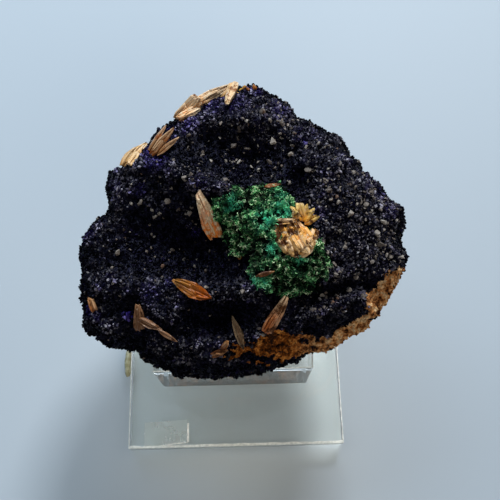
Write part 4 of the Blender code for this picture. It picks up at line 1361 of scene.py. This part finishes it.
# %% Clear acrylic
def let_lamps_through(tree, shader, colour):
    """Rays towards a lamp pass the clear piece and take this colour."""
    lamp_rays = add_node(tree, "ShaderNodeLightPath").outputs["Is Shadow Ray"]
    passing = add_node(tree, "ShaderNodeBsdfTransparent", {"Color": (*colour, 1)})
    either = add_node(tree, "ShaderNodeMixShader", {
        0: lamp_rays, 1: shader.outputs[0], 2: passing.outputs[0]})
    feed(tree, tree.nodes["Material Output"].inputs["Surface"], either.outputs[0])


acrylic_finish, tree, shader = new_finish("clear_acrylic_polish")
scuffs = mottle(tree, 260.0, 1.4)["Value"]
feed_all(tree, shader, {
    "Roughness": spread(tree, scuffs, 0.55, 0.95, 0.01, 0.12),
    "Base Color": colour_steps(tree, scuffs, [
        (0.3, (0.95, 0.96, 0.94)), (0.9, (0.92, 0.93, 0.91))]),
    "IOR": 1.49, "Transmission Weight": 1.0})
let_lamps_through(tree, shader, (0.86, 0.84, 0.78))
coat(stand, acrylic_finish)
ride_as(stand, "clear_acrylic", "acrylic_base_plate", "acrylic_riser_block")

# %% [markdown]
# ## The glue bead and the scrap of tape
# A bead of dried glue stands beside the plate's left edge. It is the CAD bead, smoothed by a
# subdivision surface and made uneven by lumps. A scrap of clear tape lies on the plate. It is
# one thin sheet of small faces whose heights a formula gives: flat on the left, crumpled and
# curled up at the right end. A cloth simulation could crumple it too, but the formula gives
# the same sheet on each run. Solidify gives it its thickness.

# %% Glue bead
glue_finish, tree, shader = new_finish("dried_glue_amber")
cloudy = mottle(tree, 500.0, 1.6)["Value"]
feed_all(tree, shader, {
    "Base Color": colour_steps(tree, cloudy, [
        (0.25, (0.32, 0.30, 0.16)), (0.55, (0.50, 0.48, 0.30)), (0.8, (0.66, 0.63, 0.46))]),
    "Roughness": spread(tree, cloudy, 0.2, 0.8, 0.18, 0.40)})
bead = merged_copy("glue_bead", "dried_glue_bead")
rounder = bead.modifiers.new("round", "SUBSURF")
rounder.levels = rounder.render_levels = 2
bake_modifiers(bead)
push_out(bead, 0.10 + 0.35 * lumps(corners(bead.data) / MM, 2.5))
coat(bead, glue_finish)
ride_as(bead, "dried_glue", "glue_bead")

# %% The tape's sheet
TAPE_CORNER, TAPE_LENGTH, TAPE_WIDTH, TAPE_THICKNESS = (-21.3, -29.6), 10.3, 5.4, 0.06
TAPE_SKEW = 0.5  # how much further back its right end lies
OFF_THE_PLATE = 0.10
CURL_START, END_CURL, FRONT_CURL = 0.86, 1.0, 0.25  # share of the length, then mm
PLATE_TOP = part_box("acrylic_base_plate")[1].z / MM
ACROSS, DEEP = 60, 30  # faces along it and over its width


def tape_point(along, over):
    """A point of the sheet, at shares of its length and width."""
    ragged_end = 0.25 * noise.noise(Vector((over * 4, 3, 0))) * along
    x = TAPE_CORNER[0] + TAPE_LENGTH * along + ragged_end
    y = TAPE_CORNER[1] + TAPE_WIDTH * over + TAPE_SKEW * along
    crumple = END_CURL * max(0.0, (along - CURL_START) / (1.0 - CURL_START)) ** 1.5
    crumple += FRONT_CURL * max(0.0, along - 0.5) * max(0.0, 0.45 - over)
    wrinkle = 0.5 + 0.5 * noise.noise(Vector((x * 3.0, y * 1.3, 0.0)))
    return Vector((x, y, PLATE_TOP + OFF_THE_PLATE + crumple * wrinkle)) * MM


tape_points = [
    tape_point(column / ACROSS, row / DEEP) for row in range(DEEP + 1) for column in range(ACROSS + 1)]
first_corners = [row * (ACROSS + 1) + column for row in range(DEEP) for column in range(ACROSS)]
tape_mesh = bpy.data.meshes.new("tape_scrap")
tape_mesh.from_pydata(tape_points, [], [
    (first, first + 1, first + ACROSS + 2, first + ACROSS + 1) for first in first_corners])
tape = link_object("tape_scrap", tape_mesh)
thicken = tape.modifiers.new("thickness", "SOLIDIFY")
thicken.thickness = TAPE_THICKNESS * MM
bake_modifiers(tape)
print("tape:", TAPE_LENGTH, "x", TAPE_WIDTH, "mm, flat size")

# %% Clear tape
tape_finish, tree, shader = new_finish("clear_tape")
creases = mottle(tree, 250.0, 0.9)["Value"]
feed_all(tree, shader, {
    "Base Color": colour_steps(tree, creases, [
        (0.3, (0.92, 0.95, 0.92)), (0.8, (1.00, 1.00, 0.98))]),
    "Roughness": spread(tree, creases, 0.3, 0.7, 0.20, 0.30),
    "Transmission Weight": 0.93, "IOR": 1.45})
let_lamps_through(tree, shader, (0.95, 0.96, 0.94))
coat(tape, tape_finish)
ride_as(tape, "clear_acrylic")

# %% [markdown]
# ## The bright edges of the acrylic
# The top edges that show read as bright white lines, and so do the tape's curled end and front
# edge. A thin closed strip of pale, rough material follows each top edge that shows, and two
# more lie across the tape's curled end and front edge: painted highlights. A rough patch in the
# clear material would have no shape of its own. The strips' widths wander a little, as a
# chamfer made with a hand file does.

# %% One strip of painted highlight
STRIP_STEP, RAISED = 0.8, 0.02  # mm


# A pale strip along a bright edge line: a painted highlight.
def highlight_strip(bm, start, end, inward, width, seed):
    """A three-sided strip between two points in metres; width in millimetres."""
    inward = Vector((*inward, 0))
    steps = max(2, round((end - start).length / (STRIP_STEP * MM)))
    rings = []
    for step in range(steps + 1):
        place = start.lerp(end, step / steps)
        wide = width * MM * (1.0 + 0.45 * noise.noise(Vector((step * 0.35, seed, 0.0))))
        rings.append([bm.verts.new(place + offset) for offset in (
            inward * wide, Vector((0, 0, -wide)), Vector((0, 0, RAISED * MM)) - inward * RAISED * MM)])
    close_tube(bm, rings)


print("a strip has a row of faces every", STRIP_STEP, "mm")

# %% The strips on the tape and along the top edges
EDGE_INSET = 0.12  # mm in from the box's sharp edge, because the chamfer cuts it back
TAPE_END, TAPE_SEED = TAPE_CORNER[0] + TAPE_LENGTH, 3.0
TAPE_STRIPS = (  # start, end, inward, width and height over the plate
    ((TAPE_END + 0.1, -28.8), (TAPE_END + 0.1, -24.6), (-1, 0), 0.45, 0.62),
    ((TAPE_END - 0.3, -29.0), (TAPE_END - 5.0, -29.4), (0, 1), 0.24, 0.26),
)
HIGHLIGHTED_SIDES = (  # box, widths of its strips, and their seed
    (plate_low, plate_high, {"front": 0.50, "left": 0.16, "right": 0.18}, 0.0),
    (block_low, block_high, {"front": 0.16, "right": 0.18}, 7.0),
)
bm = bmesh.new()
for start, end, inward, width, level in TAPE_STRIPS:
    ends = (Vector((*point, PLATE_TOP + level)) * MM for point in (start, end))
    highlight_strip(bm, *ends, inward, width, TAPE_SEED)
for low, high, widths, seed in HIGHLIGHTED_SIDES:
    x0, x1 = low.x + EDGE_INSET * MM, high.x - EDGE_INSET * MM
    y0, y1 = low.y + EDGE_INSET * MM, high.y - EDGE_INSET * MM
    lines = {
        "front": ((x0, y0), (x1, y0), (0, 1)), "left": ((x0, y0), (x0, y1), (1, 0)),
        "right": ((x1, y0), (x1, y1), (-1, 0)),
    }
    for side, width in widths.items():
        start, end, inward = lines[side]
        level = high.z - EDGE_INSET * MM
        highlight_strip(bm, Vector((*start, level)), Vector((*end, level)), inward, width, seed)
bmesh.ops.recalc_face_normals(bm, faces=bm.faces)
edge_highlights = link_object("frosted_edges", mesh_of(bm, "frosted_edges"))
# Pale, rough material for the bright edge lines: painted highlights.
edge_highlight_finish, tree, shader = new_finish("painted_edge_highlight")
strip_mottle = mottle(tree, 1500.0, 1.6)["Value"]
feed_all(tree, shader, {
    "Base Color": colour_steps(tree, strip_mottle, [
        (0.25, (0.62, 0.65, 0.65)), (0.7, (0.98, 1.00, 0.99))]),
    "Roughness": spread(tree, strip_mottle, 0.2, 0.8, 0.45, 0.75)})
coat(edge_highlights, edge_highlight_finish)
ride_as(edge_highlights, "clear_acrylic")

# %% [markdown]
# ## The table and the light
# A pale table top with a dull finish carries the stand. Rectangular area lamps give soft
# shadows. A small bright window stands far behind the specimen and a wide sky panel nearer to
# it, so the shadows fall towards the viewer. A weak, warm fill comes from the viewer's side.
# The fourth lamp is tiny and hangs just over the plate's near edge. It has no real
# counterpart: it was tuned because without it the plate and the table in front of it
# came out too dark. The fill and the tiny lamp are hidden from mirror and see-through rays.
# The world's own light is dim, and what the camera sees of it is a brighter pale sky.

# %% Table top
FLOOR_REACH, FLOOR_LEVEL = 1.5, -0.1 * MM  # metres; just under the stand
floor_mesh = bpy.data.meshes.new("table_top")
floor_mesh.from_pydata(
    [(x * FLOOR_REACH, y * FLOOR_REACH, FLOOR_LEVEL) for x, y in ((-1, -1), (1, -1), (1, 1), (-1, 1))],
    [], [(0, 1, 2, 3)])
floor = link_object("table_top", floor_mesh)
floor_finish, tree, shader = new_finish("pale_table")
feed_all(tree, shader, {
    "Base Color": colour_steps(tree, mottle(tree, 3.0, 0.25)["Value"], [
        (0.3, (0.46, 0.53, 0.59)), (0.7, (0.49, 0.56, 0.62))]),
    "Roughness": 0.62, "IOR": 1.45})
coat(floor, floor_finish)
print("table top:", 2 * FLOOR_REACH, "m wide")

# %% Four lamps
LAMPS = {  # place, target, size, power, colour, and whether mirror and see-through rays meet it
    "sky_panel": ((-0.10, 0.31, 0.35), (0, 0, 0.02), (0.46, 0.26), 1.35, (0.74, 0.88, 1.0), True),
    "window": ((0.28, 0.74, 0.78), (0, 0, 0.02), (0.26, 0.20), 8.4, (0.96, 0.98, 1.0), True),
    "near_fill": ((0.4, -0.9, 0.7), (0, 0, 0.0), (0.9, 0.5), 2.6, (1.0, 0.88, 0.74), False),
    "glow_by_the_plate": (
        (0, -0.028, 0.032), (0, -0.028, 0), (0.034, 0.020), 0.0042, (1.0, 0.88, 0.68), False),
}
for name, (place, target, size, power, colour, mirrored) in LAMPS.items():
    lamp = bpy.data.lights.new(name, "AREA")
    lamp.shape, lamp.size, lamp.size_y = "RECTANGLE", *size
    lamp.energy, lamp.color = power, colour
    holder = link_object(name, lamp)
    holder.location = place
    holder.rotation_euler = (Vector(target) - Vector(place)).to_track_quat("-Z", "Y").to_euler()
    holder.visible_camera = False
    holder.visible_glossy = holder.visible_transmission = mirrored
print("lamps:", ", ".join(LAMPS))

# %% The pale sky
sky = bpy.data.worlds.new("pale_sky")
scene.world = sky
sky.use_nodes = True
tree = sky.node_tree
dim = tree.nodes["Background"]  # what lights the piece
feed_all(tree, dim, {"Color": (0.72, 0.84, 1.0, 1), "Strength": 0.13})
pale = add_node(tree, "ShaderNodeBackground", {"Color": (0.80, 0.88, 1.0, 1), "Strength": 0.45})
rays = add_node(tree, "ShaderNodeLightPath").outputs
seen = calculate(tree, "MAXIMUM", rays["Is Camera Ray"], rays["Is Transmission Ray"])
either = add_node(tree, "ShaderNodeMixShader", {0: seen, 1: dim.outputs[0], 2: pale.outputs[0]})
feed(tree, tree.nodes["World Output"].inputs["Surface"], either.outputs[0])
scene.view_settings.view_transform = "Standard"
print("sky:", len(tree.nodes), "nodes")
